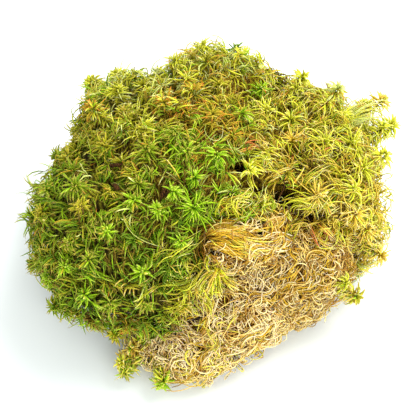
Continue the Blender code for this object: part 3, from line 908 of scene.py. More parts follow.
def more_heads(heads, rng):
    """Heads added wherever there is room on the cushion."""
    for outward in outward_directions():
        hit = seen_from(HEART + 0.3 * outward, -outward)
        if hit is None or hit[3] is not moss_skin:
            continue
        place, normal = hit[:2]
        gap = rng.uniform(*HEAD_GAP) * MM
        if place[2] < LOWEST_HEAD * MM or normal[2] < -0.75 or in_cleft(place[None], 1.8)[0]:
            continue
        if min(np.linalg.norm(place - other[0]) for other in heads) < gap:
            continue
        off_hank, off_straw = (skin.nearest(place[None])[2][0] for skin in (hank_skin, straw_skin))
        if off_hank < OFF_HANK * MM or off_straw < OFF_STRAW * MM:
            continue
        if rng.random() < 0.45 * wilt(place[None])[0]:
            continue
        axis = unit(0.6 * normal + 0.25 * outward + 0.3 * UP + rng.normal(0, 0.25, 3))
        kind = pick_kinds(place[None], rng)[0]
        heads.append((place, axis, rng.uniform(*HEAD_HALF) * MM, kind, HEAD_LIFT))


more_heads(heads, rng)
print(len(heads), "heads with those that fill the cushion")

# %% Grow the heads
WHORLS = (
    # branches, tilt from the axis, length, turn, thickness, height of the roots
    (7, 12, 0.45, 15, 0.95, 2.4),
    (9, 32, 0.7, 36, 1.05, 2.0),
    (12, 54, 1.0, 64, 1.0, 1.2),
    (12, 78, 1.25, 92, 0.9, 0.2),
    (8, 104, 1.4, 90, 0.8, -1.4),
)
HEAD_THICK = 0.46
PLUMP = 1.22
ONE_KIND = 0.8  # share of a head's branches that are of its kind
RIM_TILT, RIM_DIMMER = 100, 0.2
LIGHT_IN_VIEW, LIGHT_ELSEWHERE = (0.7, 1.0), (0.4, 0.85)
TILT_SPREAD = 13  # degrees
LIMP_GAIN, LIMP_LIMIT, LEFT_LIMIT = 0.45, 0.55, -24


def add_head(growth, place, axis, half, kind, lift, rng, limp=1.0):
    """One star of branches round an axis. Limp heads have longer, weaker branches."""
    side = unit(np.cross(axis, [0.31, 0.9, 0.11]))
    across = np.cross(axis, side)
    in_view = lift > HEAD_LIFT
    lightness = rng.uniform(*(LIGHT_IN_VIEW if in_view else LIGHT_ELSEWHERE))
    sweep = rng.normal(0, 0.45, 3) - 0.35 * UP
    limp = limp * rng.uniform(0.8, 1.25)
    girth = (PLUMP if in_view else 1.0) * HEAD_THICK / limp ** 0.8
    for count, tilt, length, turn, width, height in WHORLS:
        spin = rng.uniform(0, 2 * math.pi)
        spin += (np.arange(count) + rng.normal(0, 0.45, count)) * 2 * math.pi / count
        tilts = np.radians(tilt + rng.normal(0, TILT_SPREAD, count))[:, None]
        outward = np.cos(spin)[:, None] * side + np.sin(spin)[:, None] * across
        headings = np.cos(tilts) * axis + np.sin(tilts) * outward
        bends = -np.sin(tilts) * axis + np.cos(tilts) * outward
        bends = bends + sweep + rng.normal(0, 0.3, (count, 3))
        lengths = half * length * limp * rng.uniform(0.65, 1.25, count)
        turns = np.radians(turn) * limp ** 2 * rng.uniform(0.4, 1.6, count)
        rise = (lift + height + rng.normal(0, 0.3, count))[:, None]
        roots = place + rise * MM * axis + 0.5 * MM * outward
        own = pick_kinds(np.repeat(place[None], count, 0), rng)
        kinds = [kind if same else other for same, other in zip(rng.random(count) < ONE_KIND, own)]
        light = lightness + rng.normal(0, 0.2, count) - RIM_DIMMER * (tilt > RIM_TILT)
        thick = girth * width * MM * rng.uniform(0.75, 1.2, count)
        growth.add_bent(roots, headings, bends, lengths, turns, rng.normal(0, 0.5, count), thick,
                        kind_tones(MOSS_KINDS, kinds, light))


growths = {"left": Growth(blade), "middle": Growth(blade), "limp": Growth(curl)}
for place, axis, half, kind, lift in heads:
    weakness = wilt(place[None])[0]
    side = "left" if place[0] < LEFT_LIMIT * MM else "middle"
    side = "limp" if weakness > LIMP_LIMIT else side
    add_head(growths[side], place, axis, half, kind, lift, rng, limp=1.0 + LIMP_GAIN * weakness)
for side, growth in growths.items():
    growth.join("moss_heads_" + side, living_moss, "living_moss")

# %% [markdown]
# ## Between the heads
# Under its head, a shoot carries bunches of longer, duller branches, and those of neighbouring
# shoots mesh into one springy mass. The bunches are sown evenly over the skin. Each starts a little
# below it, leans out and arches over, and its branches share that bend, give or take. Towards the
# straw they are longer, thinner and more curled.

# %% Bunches of branches
BUNCH_KIND = 0.7  # share of a bunch's branches that are of its kind
HOLLOW_SHARE, DEEP_SHARE = 0.05, 0.15
BUNCH_LEAN = (12, 75)  # degrees from the normal
ROOT_DEPTH = (-1.6, 3.0)


def lean_out(normals, tilt, rng):
    """Directions tilted from the normals by angles in radians, all ways round."""
    wander = rng.normal(size=normals.shape)
    flat = unit(wander - (wander * normals).sum(1, keepdims=True) * normals)
    tilt = tilt[:, None]
    return unit(np.cos(tilt) * normals + np.sin(tilt) * flat), flat


def share_out(values, bunch, spread, rng):
    """Each branch gets its bunch's value, give or take."""
    own = values[bunch]
    return own + rng.normal(0, spread, own.shape)


def divide(kinds, places, size, rng, *tables):
    """The bunch that each branch belongs to, and its kind. A bunch has about size branches."""
    bunch = np.repeat(np.arange(len(places)), rng.integers(size - 2, size + 3, len(places)))
    own = np.array(pick_kinds(places[bunch], rng, *tables))
    return bunch, np.where(rng.random(len(bunch)) < BUNCH_KIND, kinds[bunch], own)


def add_bunches(growth, places, normals, size, reach, turn, thick, rng):
    """Bunches with reach and thick in millimetres and turn in degrees, all as ranges."""
    count = len(places)
    headings, flat = lean_out(normals, np.radians(rng.uniform(*BUNCH_LEAN, count)), rng)
    lengths, turns = rng.uniform(*reach, count), np.radians(rng.uniform(*turn, count))
    light = rng.uniform(0.25, 0.85, count) + 0.18 * wilt(places)
    sway = rng.normal(0, 0.35, count)
    kinds = np.array(pick_kinds(places, rng))
    # Some bunches take the darker hollow and deep kinds. This is partly their own colour and partly
    # painted shade deep in the cushion.
    dull = rng.random(count)
    kinds[dull < HOLLOW_SHARE] = "hollow"
    kinds[(dull > 1 - DEEP_SHARE) & (kinds == "fresh")] = "deep"
    bunch, kinds = divide(kinds, places, size, rng)
    total = len(bunch)
    depth = rng.uniform(*ROOT_DEPTH, total)[:, None] * MM
    roots = share_out(places, bunch, 0.9 * MM, rng) - depth * normals[bunch]
    lengths = lengths[bunch] * rng.uniform(0.7, 1.15, total) * MM
    turns = turns[bunch] * rng.uniform(0.6, 1.4, total)
    bends = share_out(flat, bunch, 0.35, rng) - 0.45 * UP
    tones = kind_tones(MOSS_KINDS, kinds, share_out(light, bunch, 0.16, rng))
    growth.add_bent(roots, share_out(headings, bunch, 0.3, rng), bends, lengths, turns,
                    share_out(sway, bunch, 0.3, rng), rng.uniform(*thick, total) * MM, tones)


print("bunches keep", BUNCH_KIND, "of their branches to one kind")

# %% Fill the cushion
FILL_PLACES = 3820
FIRM = (5, (6.5, 11.5), (30, 100), (0.3, 0.46))  # branches in each, reach, turn, thickness
WEAK = (5, (9, 17), (80, 280), (0.2, 0.34))
UNDER_SHARE, BEHIND_SHARE = 0.35, 0.55
FILL_SPLIT = -18


def open_places(count, rng):
    """Places sown over the cushion, none in clefts and fewer underneath and at the far side."""
    places, normals = moss_skin.sow(count, rng)
    keep = ~in_cleft(places, 1.3) & (places[:, 2] > 1.5 * MM)
    keep &= hank_skin.nearest(places)[2] > 2.5 * MM
    keep &= (normals[:, 2] > -0.5) | (rng.random(count) < UNDER_SHARE)
    keep &= (normals @ VIEW_BACK > -0.25) | (rng.random(count) < BEHIND_SHARE)
    return places[keep], normals[keep]


rng = np.random.default_rng(SEEDS["bunches"])
places, normals = open_places(FILL_PLACES, rng)
weak = rng.random(len(places)) < wilt(places)
left = places[:, 0] < FILL_SPLIT * MM
for name, pattern, chosen, ranges in (("moss_fill_left", blade, ~weak & left, FIRM),
                                      ("moss_fill_right", blade, ~weak & ~left, FIRM),
                                      ("moss_fill_weak", curl, weak, WEAK)):
    fill = Growth(pattern)
    add_bunches(fill, places[chosen], normals[chosen], *ranges, rng)
    fill.join(name, living_moss, "living_moss", (*CLEARED, (STRAW_FACE, 1.0, 0)))

# %% [markdown]
# ## Wisps along the rim
# Where the cushion curves away, single branches stand off its edge and make the outline soft. They
# are the same bunches, thin and with wide turns, sown only where the skin is seen edge on.

# %% Grow the wisps
RIM_PLACES = 1500
WISP = (3, (8, 17), (30, 160), (0.18, 0.32))  # branches in each, reach, turn, thickness
EDGE_ON, LOWEST_WISP = 0.4, 30


def rim_places(count, rng):
    """Places on the cushion's upper outline, as the camera sees it."""
    places, normals = moss_skin.sow(count, rng)
    edge = (np.abs(normals @ VIEW_BACK) < EDGE_ON) & (places[:, 2] > LOWEST_WISP * MM)
    return places[edge], normals[edge]


rng = np.random.default_rng(SEEDS["wisps"])
wisps = Growth(curl)
add_bunches(wisps, *rim_places(RIM_PLACES, rng), *WISP, rng)
wisps.join("rim_wisps", living_moss, "living_moss")

# %% [markdown]
# ## The straw tangle
# The old stems at the front have lost their green and lie in loops over one another. They fall in
# small bunches that curve together. Each strand creeps over the skin with a steady turn, and is set
# back onto the skin at every ring, at a height that rises in its middle and dives at its ends.

# %% Creeping bunches
PALE_ROW, PALE_SPAN, PALE_GAIN = 305, 40, 0.5  # the lowest strands are paler
ENDS_DIVE = 0.4
STRAW = (STRAW_KINDS, STRAW_PATCHES)
WAVES = (0.7, (3, 7), (0, 6.3))  # height, pace and start


def creep(skin, places, headings, normals, lengths, turns, heights, waves, levels):
    """Paths that wind over a skin, with their ends in it and their middle at a height above it."""
    sides = np.cross(normals, headings)
    angles = turns[:, None] * (levels - 0.5)
    angles = (angles + waves[:, :1] * np.sin(levels * waves[:, 1:2] + waves[:, 2:]))[..., None]
    directions = np.cos(angles) * headings[:, None] + np.sin(angles) * sides[:, None]
    paths = walk(directions, lengths, levels)
    paths += (places - paths.mean(1))[:, None]
    skins, ups, _ = skin.nearest(paths)
    ups = unit(ups + normals[:, None])
    arch = (1 + ENDS_DIVE) * np.sin(math.pi * levels) ** 0.8 - ENDS_DIVE
    return skins + (heights[:, None] * arch)[..., None] * ups


def add_creepers(growth, skin, places, normals, size, reach, turn, rise, thick, rng, tables=STRAW):
    """Creeping bunches: reach, rise and thick in millimetres, turn as a spread in radians."""
    count = len(places)
    headings = lean_out(normals, np.full(count, math.pi / 2), rng)[0]
    height, pace, start = WAVES
    waves = np.stack([rng.normal(0, height, count), rng.uniform(*pace, count),
                      rng.uniform(*start, count)], 1)
    turns = rng.normal(0, turn, count)
    lengths, heights = rng.uniform(*reach, count), rng.uniform(*rise, count)
    low = np.clip((on_photo(places)[1] - PALE_ROW) / PALE_SPAN, 0, 1)
    light = rng.uniform(0.3, 0.85, count) + PALE_GAIN * low
    kinds = np.array(pick_kinds(places, rng, *tables))
    bunch, names = divide(kinds, places, size, rng, *tables)
    total = len(bunch)
    paths = creep(skin, share_out(places, bunch, 1.3 * MM, rng),
                  unit(share_out(headings, bunch, 0.4, rng)), normals[bunch],
                  lengths[bunch] * rng.uniform(0.75, 1.1, total) * MM,
                  share_out(turns, bunch, 1.0, rng), share_out(heights, bunch, 0.9, rng) * MM,
                  share_out(waves, bunch, 0.1, rng), strand.levels)
    tones = kind_tones(tables[0], names, share_out(light, bunch, 0.18, rng))
    growth.add(paths, normals[bunch], rng.uniform(*thick, total) * MM, tones)


def open_straw(count, rng):
    """Places sown over the straw, where it isn't under the moss or down on the floor."""
    places, normals = straw_skin.sow(count, rng)
    keep = (places[:, 2] > 0.5 * MM) & (moss_skin.nearest(places)[2] > 1.0 * MM)
    keep &= (normals @ VIEW_BACK > -0.2) | (rng.random(count) < 0.5)
    return places[keep], normals[keep]


print("strands pale below row", PALE_ROW)

# %% Two layers of straw
STRAW_LAYERS = {
    # name: places, branches in each bunch, reach, turn, rise, thickness
    "straw_mat": (1540, 3, (11, 22), 2.8, (-0.4, 1.8), (0.24, 0.38)),
    "straw_curls": (1300, 3, (8, 17), 4.6, (1.0, 4.2), (0.2, 0.34)),
}
rng = np.random.default_rng(SEEDS["straw"])
for name, (count, *ranges) in STRAW_LAYERS.items():
    layer = Growth(strand)
    add_creepers(layer, straw_skin, *open_straw(count, rng), *ranges, rng)
    layer.join(name, dry_straw, "bleached_stems")

# %% Weak curls over the moss, most of them near the straw
CURL_PLACES, CURL_LEAST, CURL_MORE = 1350, 0.06, 0.55
CREEPING = (3, (10, 22), 3.0, (2.0, 6.5), (0.2, 0.32))  # as in a layer of straw
rng = np.random.default_rng(SEEDS["curls"])
moss_curls = Growth(strand)
places, normals = open_places(CURL_PLACES, rng)
chosen = rng.random(len(places)) < CURL_LEAST + CURL_MORE * wilt(places)
add_creepers(moss_curls, moss_skin, places[chosen], normals[chosen], *CREEPING, rng,
             (MOSS_KINDS, MOSS_PATCHES))
moss_curls.join("moss_curls", living_moss, "living_moss")

# %% Loose curls that stand out of the straw
FRIZZ_PLACES = 1150
FRIZZ_DEPTH = 1.5
rng = np.random.default_rng(SEEDS["frizz"])
frizz = Growth(curl)
places, normals = open_straw(FRIZZ_PLACES, rng)
count = len(places)
headings, flat = lean_out(normals, np.radians(rng.uniform(15, 75, count)), rng)
kinds = pick_kinds(places, rng, *STRAW)
tones = kind_tones(STRAW_KINDS, kinds, rng.uniform(0.4, 1, count))
bends = flat + rng.normal(0, 0.3, (count, 3))
lengths = rng.uniform(6, 12, count) * MM
turns, sways = np.radians(rng.uniform(60, 240, count)), rng.normal(0, 0.6, count)
frizz.add_bent(places - FRIZZ_DEPTH * MM * normals, headings, bends, lengths, turns, sways,
               rng.uniform(0.18, 0.3, count) * MM, tones)
frizz.join("straw_frizz", dry_straw, "bleached_stems")

# %% [markdown]
# ## Locks laid where the photograph shows them
# Over the top edge of the straw lies a hank of wet golden stems, and round it fall locks that catch
# the eye: a fan of yellow blades, reddish streamers, a ring. They are laid one by one. Each lock is
# a line through a few pixels of the photograph. Its strands run side by side along that line, wave
# a little and fray at the ends, and lie on whatever skin the camera sees there.

# %% Lay paths along a line in the picture
EASE_ROUNDS = 3


def depth_along(columns, rows):
    """How far the camera sees along a strand, eased over gaps, or None off the clump."""
    hits = [seen_from(EYE, line_of_sight(column, row)) for column, row in zip(columns, rows)]
    found = np.array([hit[2] if hit else np.nan for hit in hits])
    known = ~np.isnan(found)
    if not known.any():
        return None
    steps = np.arange(len(found))
    found = np.interp(steps, steps[known], found[known])
    eased = found.copy()
    for _ in range(EASE_ROUNDS):
        eased[1:-1] = (eased[:-2] + 2 * eased[1:-1] + eased[2:]) / 4
    return np.minimum(found, eased)


def drape(columns, rows, lifts):
    """Places seen at pixels, raised from the skin towards the camera, one row for each strand."""
    laid = []
    for strand_columns, strand_rows, strand_lifts in zip(columns, rows, lifts):
        depths = depth_along(strand_columns, strand_rows)
        if depths is not None:
            sights = np.array([line_of_sight(*pixel) for pixel in zip(strand_columns, strand_rows)])
            laid.append(EYE + sights * (depths - strand_lifts)[:, None])
    return np.array(laid).reshape(-1, columns.shape[1], 3)


def line_through(line, share):
    """Columns, rows and directions at shares of a smooth line, written "column,row column,row"."""
    points = [[int(part) for part in pixel.split(",")] for pixel in line.split()]
    knots = np.linspace(0, 1, len(points))
    fits = [np.polyfit(knots, axis, len(points) - 1) for axis in zip(*points)]
    columns, rows = (np.polyval(fit, share) for fit in fits)
    slopes = np.stack([np.polyval(np.polyder(fit), share) for fit in fits], -1)
    return columns, rows, unit(slopes)


print("each strand is looked up at", len(strand.levels), "places")

# %% Fill a lock with strands
STRAND_START, STRAND_SPAN, STRAND_LAST = (-0.08, 0.45), (0.4, 0.75), 1.06  # shares of the line
LOCK_LIGHT, LIGHT_SPREAD = (0.45, 0.8), 0.2
STRAND_ARCH = 1.2  # millimetres


def lay_lock(growth, lock, waviness, lift, thick, kinds, rng):
    """A lock of strands along a line through pixels. Its kinds are drawn from a list of names."""
    count, widths, waves, names, line = lock
    waviness = waviness * waves
    levels = growth.pattern.levels
    first = rng.uniform(*STRAND_START, (count, 1))
    last = np.minimum(first + rng.uniform(*STRAND_SPAN, (count, 1)), STRAND_LAST)
    share = first + (last - first) * levels
    columns, rows, slopes = line_through(line, share)
    common = waviness * np.sin(share * rng.uniform(4, 8) + rng.uniform(0, 6.3))
    pace, phase = rng.uniform(3, 7, (count, 1)), rng.uniform(0, 6.3, (count, 1))
    own = waviness * rng.normal(0, 0.7, (count, 1)) * np.sin(levels * pace + phase)
    tilt = (0.6 + waviness) * rng.normal(0, 1.0, (count, 1)) * (levels - 0.5)
    width = widths[0] + (widths[1] - widths[0]) * share
    aside = rng.normal(0, 0.45, (count, 1)) * width + common + own + tilt
    lifts = rng.uniform(*lift, (count, 1))
    lifts = (lifts + STRAND_ARCH * np.sin(levels * math.pi) * rng.random((count, 1))) * MM
    paths = drape(columns - aside * slopes[..., 1], rows + aside * slopes[..., 0], lifts)
    light = rng.uniform(*LOCK_LIGHT) + rng.normal(0, LIGHT_SPREAD, len(paths))
    tones = kind_tones(kinds, rng.choice(names.split(), len(paths)), light)
    towards_eye = np.repeat(VIEW_BACK[None], len(paths), 0)
    growth.add(paths, towards_eye, rng.uniform(*thick, len(paths)) * MM, tones)


print("locks can draw from", ", ".join(STRAW_KINDS))

# %% [markdown]
# ## The golden hank
# The hank is one swept lock of wet stems, darker and more yellow than the dry straw, and combed one
# way. Its solid gives the body. Short creepers cover that all round, and locks laid over one
# another on the seen side give the sweep, the ring and the pale ends.

# %% Lay the hank
GOLDEN = "golden golden golden golden greenish straw"
CREAM = "bleached bleached straw golden"
TAN = "straw golden golden brown golden"
HANK_LOCKS = {
    # name: strands, width at both ends and waviness in pixels, kinds, line on the photograph
    "under it all": (130, (12, 18), 3.0, GOLDEN, "206,240 228,237 250,238 280,236"),
    "upper edge": (50, (5, 8), 2.6, GOLDEN, "203,239 217,228 238,222 262,220"),
    "upper left tuft": (26, (4, 6), 1.8, GOLDEN, "204,240 211,229 223,226 232,233"),
    "left part": (56, (7, 10), 2.6, GOLDEN, "205,241 221,233 238,231 254,229"),
    "lower left": (40, (4, 8), 2.2, GOLDEN, "207,243 223,249 240,253 258,251"),
    "across the middle": (34, (8, 7), 2.2, GOLDEN, "226,231 236,238 246,246 256,250"),
    "middle": (40, (7, 9), 2.4, GOLDEN, "220,238 236,240 250,245 266,248"),
    "in the recess": (22, (4, 5), 0.8, "golden brown", "246,228 254,233 262,240 269,248"),
    "small ring": (18, (2, 3), 1.0, TAN, "247,226 248,215 260,216 257,226"),
    "tan curl": (24, (4, 5), 1.6, TAN, "252,222 260,213 271,215 274,226"),
    "right end": (40, (8, 8), 2.8, TAN, "260,245 270,234 277,224 282,214"),
    "inner right": (30, (6, 6), 2.4, TAN, "268,247 277,239 281,229 279,219"),
    "pale edge": (46, (5, 8), 3.0, CREAM, "250,253 265,251 279,245 290,236"),
    "pale tuft": (40, (9, 9), 3.4, CREAM, "262,264 265,255 275,248 288,248"),
    "below, left": (40, (8, 9), 2.4, "greenish golden brown", "204,249 209,261 220,268 234,265"),
    "pale tuft, left": (26, (6, 7), 3.0, CREAM, "244,266 248,257 256,251 268,250"),
    "long pale line": (4, (1, 2), 0.3, "straw golden", "204,242 218,247 232,247 244,250"),
}
HANK_PLACES = 150
HANK_CREEPERS = (3, (8, 16), 2.6, (0.0, 3.2), (0.24, 0.38))
rng = np.random.default_rng(SEEDS["hank"])
hank = Growth(strand)
add_creepers(hank, hank_skin, *hank_skin.sow(HANK_PLACES, rng), *HANK_CREEPERS, rng)
for lock in HANK_LOCKS.values():
    lay_lock(hank, lock, 1.25, (0.0, 2.8), (0.24, 0.42), STRAW_KINDS, rng)
hank.join("golden_hank_strands", dry_straw, "golden_stems")

# %% [markdown]
# ## Locks in the straw and the moss
# Elsewhere a few locks stand out from what is sown at random: pale falls under the hank, the comb
# and the ring beside it, a fan of thick yellow blades at the straw's upper edge, streamers that
# are red in the middle, and the airy tuft at the right rim. They are laid in the same way.

# %% Locks in the straw
STRAW_LOCKS = {
    "falling left": (26, (5, 9), 1.6, CREAM, "264,250 262,262 259,274 254,286"),
    "falling right": (26, (5, 10), 1.6, CREAM, "272,252 276,264 272,277 265,291"),
    "single fall": (5, (1, 2), 0.4, "bleached", "261,254 261,262 259,271 256,281"),
    "comb": (22, (14, 14), 0.4, "golden straw straw", "291,246 296,252 301,258 306,266"),
    "golden ring": (16, (3, 3), 0.5, "golden straw", "308,264 312,250 326,253 322,270"),
    "right slope": (28, (9, 8), 1.4, TAN, "270,298 284,286 297,273 308,261"),
    "lower right slope": (28, (9, 10), 1.6, TAN, "286,304 299,291 312,281 323,270"),
    "over the hollow": (16, (4, 6), 1.2, CREAM, "220,292 232,290 244,296 250,306"),
    "pale ridge": (30, (8, 8), 1.8, CREAM, "248,316 258,302 268,294 280,284"),
    "left ridge": (22, (6, 6), 1.2, CREAM, "198,335 206,322 214,306 222,296"),
    "left bridge": (16, (4, 8), 1.2, CREAM, "175,318 186,326 198,332 212,336"),
    "by the needle": (26, (7, 7), 1.6, CREAM, "180,322 192,320 204,322 216,316"),
    "toe, right side": (26, (7, 5), 1.0, "straw bleached golden",
        "196,372 206,360 213,349 216,338"),
    "toe, edge": (18, (10, 10), 2.4, "greenish golden straw", "158,368 172,377 190,379 206,370"),
    "toe, green end": (20, (4, 6), 1.2, "greenish", "156,360 158,370 166,381 178,389"),
    "front edge": (26, (6, 6), 1.8, CREAM, "228,344 242,336 258,332 272,322"),
}
rng = np.random.default_rng(SEEDS["locks"])
straw_locks = Growth(strand)
for lock in STRAW_LOCKS.values():
    lay_lock(straw_locks, lock, 2, (0.5, 3.5), (0.22, 0.36), STRAW_KINDS, rng)
straw_locks.join("straw_locks", dry_straw, "bleached_stems")

# %% Locks in the moss
LIME = "lime lime gold"
BRIGHT = "gold lime"
MOSS_LOCKS = {
    "fan, far left": (14, (1, 7), 0.4, BRIGHT, "215,268 207,277 199,287 193,300"),
    "fan, left": (20, (1, 8), 0.4, BRIGHT, "217,269 212,280 206,290 203,302"),
    "fan, middle": (20, (1, 9), 0.4, BRIGHT, "217,269 217,280 219,291 221,300"),
    "fan, right": (20, (1, 8), 0.4, BRIGHT, "218,268 225,276 232,283 240,289"),
    "above the fan": (16, (5, 3), 0.6, LIME, "206,254 206,262 210,268 217,272"),
    "below the fan": (18, (6, 6), 0.8, BRIGHT, "198,288 204,300 210,311 212,322"),
    "yellow band": (26, (12, 10), 1.2, BRIGHT, "183,284 190,298 196,310 200,324"),
    "left of the hank": (14, (12, 7), 2.6, "lime leaf", "146,262 164,252 184,250 206,243"),
    "left of the fan": (24, (12, 6), 2.2, "lime olive", "160,296 176,286 192,276 210,268"),
    "under that": (20, (8, 6), 2.2, "lime olive", "166,312 180,303 192,294 206,286"),
    "pale band": (16, (8, 10), 1.4, "lime", "178,304 186,312 194,318 202,320"),
    "streamer": (18, (5, 7), 0.4, "flushed gold lime", "310,226 317,238 326,245 337,249"),
    "upper streamer": (12, (3, 5), 0.4, "flushed gold", "312,221 322,228 331,236 339,243"),
    "flushed tips, middle": (9, (5, 7), 0.8, "flushed olive", "234,151 245,147 256,149 267,147"),
    "flushed tips, right": (9, (5, 7), 0.8, "flushed lime", "311,131 321,131 331,134 341,133"),
    "flushed tips, low": (9, (5, 7), 0.8, "flushed lime", "319,149 328,146 337,147 346,152"),
    "flushed tips, top": (9, (6, 8), 0.8, "flushed olive", "188,109 199,105 210,108 222,104"),
    "right of the hank": (18, (9, 6), 1.2, "gold olive", "290,234 298,228 306,226 313,228"),
    "curls right": (24, (8, 9), 2.4, LIME, "290,216 297,204 310,199 324,201"),
    "curls right, low": (20, (6, 8), 2.2, LIME, "306,214 316,206 328,204 340,210"),
    "curls left": (16, (5, 7), 1.8, LIME, "224,217 229,206 238,200 248,197"),
    "curls, middle": (16, (6, 8), 2.0, LIME, "236,218 236,206 242,196 252,192"),
    "right rim, low": (22, (8, 8), 1.6, "gold lime pale", "352,258 363,264 374,267 385,269"),
    "tuft, upper": (44, (7, 12), 1.2, "lime pale", "330,122 351,114 374,105 397,104"),
    "tuft, lower": (44, (7, 12), 1.2, "lime pale", "330,130 352,123 374,116 396,115"),
    "over the cleft": (16, (3, 8), 1.0, LIME, "250,166 262,160 274,161 284,172"),
    "beside the cleft": (12, (3, 7), 1.0, LIME, "249,168 262,166 272,171 279,180"),
    "into the cleft": (10, (2, 4), 0.4, "lime gold", "248,170 251,177 252,184 253,191"),
}
moss_locks = Growth(strand)
for name, lock in MOSS_LOCKS.items():
    thick = (0.36, 0.54) if name.startswith("fan") else (0.22, 0.36)
    lay_lock(moss_locks, lock, 2, (2.5, 6.5), thick, MOSS_KINDS, rng)
moss_locks.join("moss_locks", living_moss, "living_moss", ())

# %% [markdown]
# ## Single stems
# A few pale stems and brown twigs lie loose over the heads and draw the eye, because they cross
# everything else. Each is one strand on one line through the photograph, lifted well clear.

# %% Single stems that lie over the heads
HAIRS = {
    # name: kind, radius and height over the skin in millimetres, line on the photograph
    "loop": ("pale", 0.22, 6.5, "206,124 208,137 219,140 222,124"),
    "wavy": ("pale", 0.22, 6.0, "226,138 241,147 252,133 268,145"),
    "left, long": ("pale", 0.22, 5.5, "122,212 131,232 146,242 162,247"),
    "over the cleft": ("stem", 0.34, 3.0, "283,179 284,188 280,196 278,205"),
    "twig": ("stem", 0.42, 5.0, "111,171 119,166 128,177 138,174"),
    "thin leaf": ("stem", 0.5, 5.0, "165,196 168,191 171,187 176,182"),
    "brown twig": ("stem", 0.36, 5.0, "149,268 154,272 160,270 166,273"),
}
hairs = Growth(strand)
for kind, thick, height, line in HAIRS.values():
    columns, rows, _ = line_through(line, strand.levels[None])
    paths = drape(columns, rows, np.full(columns.shape, height * MM))
    hairs.add(paths, VIEW_BACK[None], np.array([thick * MM]), kind_tones(MOSS_KINDS, [kind], 0.4))
hairs.join("single_stems", living_moss, "bleached_stems", ())

# %% [markdown]
# ## Loose shoots
# At the rim, shoots have worked loose, so one sees what a whole shoot is like: a thin stem with
# bunches of branches at even steps, two spreading and two hanging, and the head on its end. Each
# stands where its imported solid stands: its foot is the solid's nearest place to the cushion, and
# its head is the far end.

# %% Where a loose shoot stands
BUSHY = {"shoot_right_tuft", "shoot_right_tuft_low", "shoot_back_left", "shoot_back_left_tip",
         "shoot_front_floor"}
BUSHY_HEADS = (0.1, 0.35, 0.6)  # as shares of the stem
FASCICLES, BUSHY_FASCICLES, FASCICLE_BRANCHES = 12, 24, 9
LOW_SHOOT, LEFT_EDGE = 22 * MM, -60 * MM
INSET, BUSHY_INSET, EDGE_INSET = 5, 3, 8  # from the solid's tip to the head
SHOOT_HEAD = (5.5 * MM, 7.5 * MM)
STEM_THICK, STEM_TURN = 0.55, 0.12
STEM_DEPTH, STEM_END = 5, 4


def shoot_ends(node):
    """Foot and tip of a packed shoot."""
    points = np.unique(mesh_arrays(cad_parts[node])[0].round(6), axis=0)
    away = np.minimum(moss_skin.nearest(points)[2], straw_skin.nearest(points)[2])
    foot = points[np.argmin(away)]
    reach = (points - foot) @ unit(points.mean(0) - foot)
    return foot, points[np.argmax(reach)]


print(len(BUSHY), "of the loose shoots are bushy")

# %% Grow the loose shoots
def add_stem(growth, foot, away, reach):
    bend = unit(np.cross(away, [0.2, 0.5, 0.9]))
    growth.add_bent((foot - STEM_DEPTH * MM * away)[None], away[None], bend[None],
                    np.array([reach + STEM_END * MM]), np.array([STEM_TURN]), np.zeros(1),
                    np.array([STEM_THICK * MM]), kind_tones(MOSS_KINDS, ["olive"], 0.4))


def add_side_branches(growth, foot, tip, away, half, bushy, rng):
    """Bunches of branches at even steps. A bushy shoot has more and longer ones, from below."""
    fascicles = BUSHY_FASCICLES if bushy else FASCICLES
    total = fascicles * FASCICLE_BRANCHES
    step = np.repeat(np.arange(fascicles), FASCICLE_BRANCHES)
    tilts = np.radians(rng.uniform(55, 120, total))
    outward = lean_out(np.repeat(away[None], total, 0), tilts, rng)[0]
    start, longer = (-0.5, 1.35) if bushy else (-0.15, 1.0)
    share = start + (step + 0.3) / fascicles * (0.85 - start)
    places = foot + share[:, None] * (tip - foot)
    bends = outward - 0.8 * away - 0.5 * UP + rng.normal(0, 0.3, (total, 3))
    tones = kind_tones(MOSS_KINDS, pick_kinds(places, rng), rng.uniform(0.7, 1.0, total))
    growth.add_bent(places, outward, bends, longer * half * rng.uniform(0.6, 1.2, total),
                    np.radians(rng.uniform(20, 110, total)), rng.normal(0, 0.4, total),
                    rng.uniform(0.28, 0.44, total) * MM, tones)


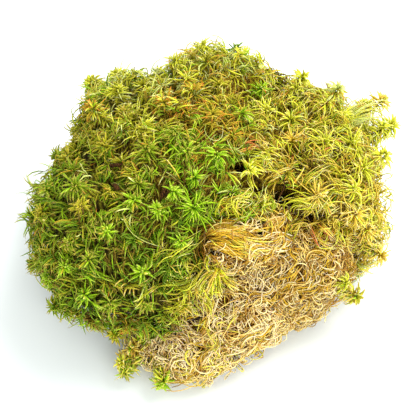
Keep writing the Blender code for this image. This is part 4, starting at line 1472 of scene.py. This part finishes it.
def grow_shoot(node, rng):
    foot, tip = shoot_ends(node)
    bushy = node in BUSHY
    away = unit(tip - foot)
    reach = np.linalg.norm(tip - foot)
    axis = unit(away + 0.15 * UP)
    low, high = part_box(node)
    half = np.clip(0.5 * sorted(high - low)[1], *SHOOT_HEAD)
    growth = Growth(blade)
    add_stem(growth, foot, away, reach)
    add_side_branches(growth, foot, tip, away, half, bushy, rng)
    at_edge = tip[2] < LOW_SHOOT or tip[0] < LEFT_EDGE
    inset = EDGE_INSET if at_edge else BUSHY_INSET if bushy else INSET
    neck = foot + max(reach - inset * MM, 0.35 * reach) * away
    add_head(growth, neck, axis, half, pick_kinds(tip[None], rng)[0], SEEN_LIFT, rng)
    for share in BUSHY_HEADS if bushy else ():
        beside = unit(axis + rng.normal(0, 0.8, 3))
        kind = pick_kinds(tip[None], rng)[0]
        add_head(growth, foot + share * (tip - foot), beside, 0.8 * half, kind, SEEN_LIFT, rng)
    piece = growth.join(node.replace("shoot", "loose_shoot"), living_moss, "loose_shoot", ())
    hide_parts(node)


rng = np.random.default_rng(SEEDS["shoots"])
for node in sorted(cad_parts):
    if node.startswith("shoot_"):
        grow_shoot(node, rng)

# %% [markdown]
# ## Litter
# A dark needle and some scraps of dead leaf are caught in the moss. They are copies of the packed
# solids, cut finer and crumpled a little, in the browns of dead leaf.

# %% Needle and leaf scraps
DEAD_LEAF = ("#1c0e06", "#4c2c12", "#74501f")
DEAD_NEEDLE = ("#0e0b08", "#2c221a", "#5e4e3a")
FOLD_SIZE = 1.1
LEAF_CRUMPLE, NEEDLE_CRUMPLE = 0.7, 0.2


def add_litter(node, name, crumple, material):
    piece = copy_of_node(node, name)
    edit(piece, lambda: bpy.ops.mesh.subdivide(number_cuts=3, smoothness=0.2))
    folds = bpy.data.textures.new(name + "_folds", "CLOUDS")
    folds.noise_scale = FOLD_SIZE * MM
    apply_modifier(piece, "DISPLACE", texture=folds, strength=crumple * MM, mid_level=0.5)
    bpy.ops.object.shade_smooth()
    piece.data.materials.append(material)
    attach(piece, "root")
    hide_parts(node)
    print(name, len(piece.data.polygons), "faces")


# Dead leaf and old needle: matt, nearly black in their folds and brown where they are worn.
leaf_brown = bed_material("dead_leaf_brown", DEAD_LEAF, DEAD_LEAF, 0.8)
needle_brown = bed_material("dead_needle_brown", DEAD_NEEDLE, DEAD_NEEDLE, 0.6)
for node in sorted(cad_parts):
    if node.startswith("leaf_scrap"):
        crumpled = node.replace("leaf_scrap", "crumpled_leaf")
        add_litter(node, crumpled, LEAF_CRUMPLE, leaf_brown)
add_litter("dark_needle", "grooved_needle", NEEDLE_CRUMPLE, needle_brown)
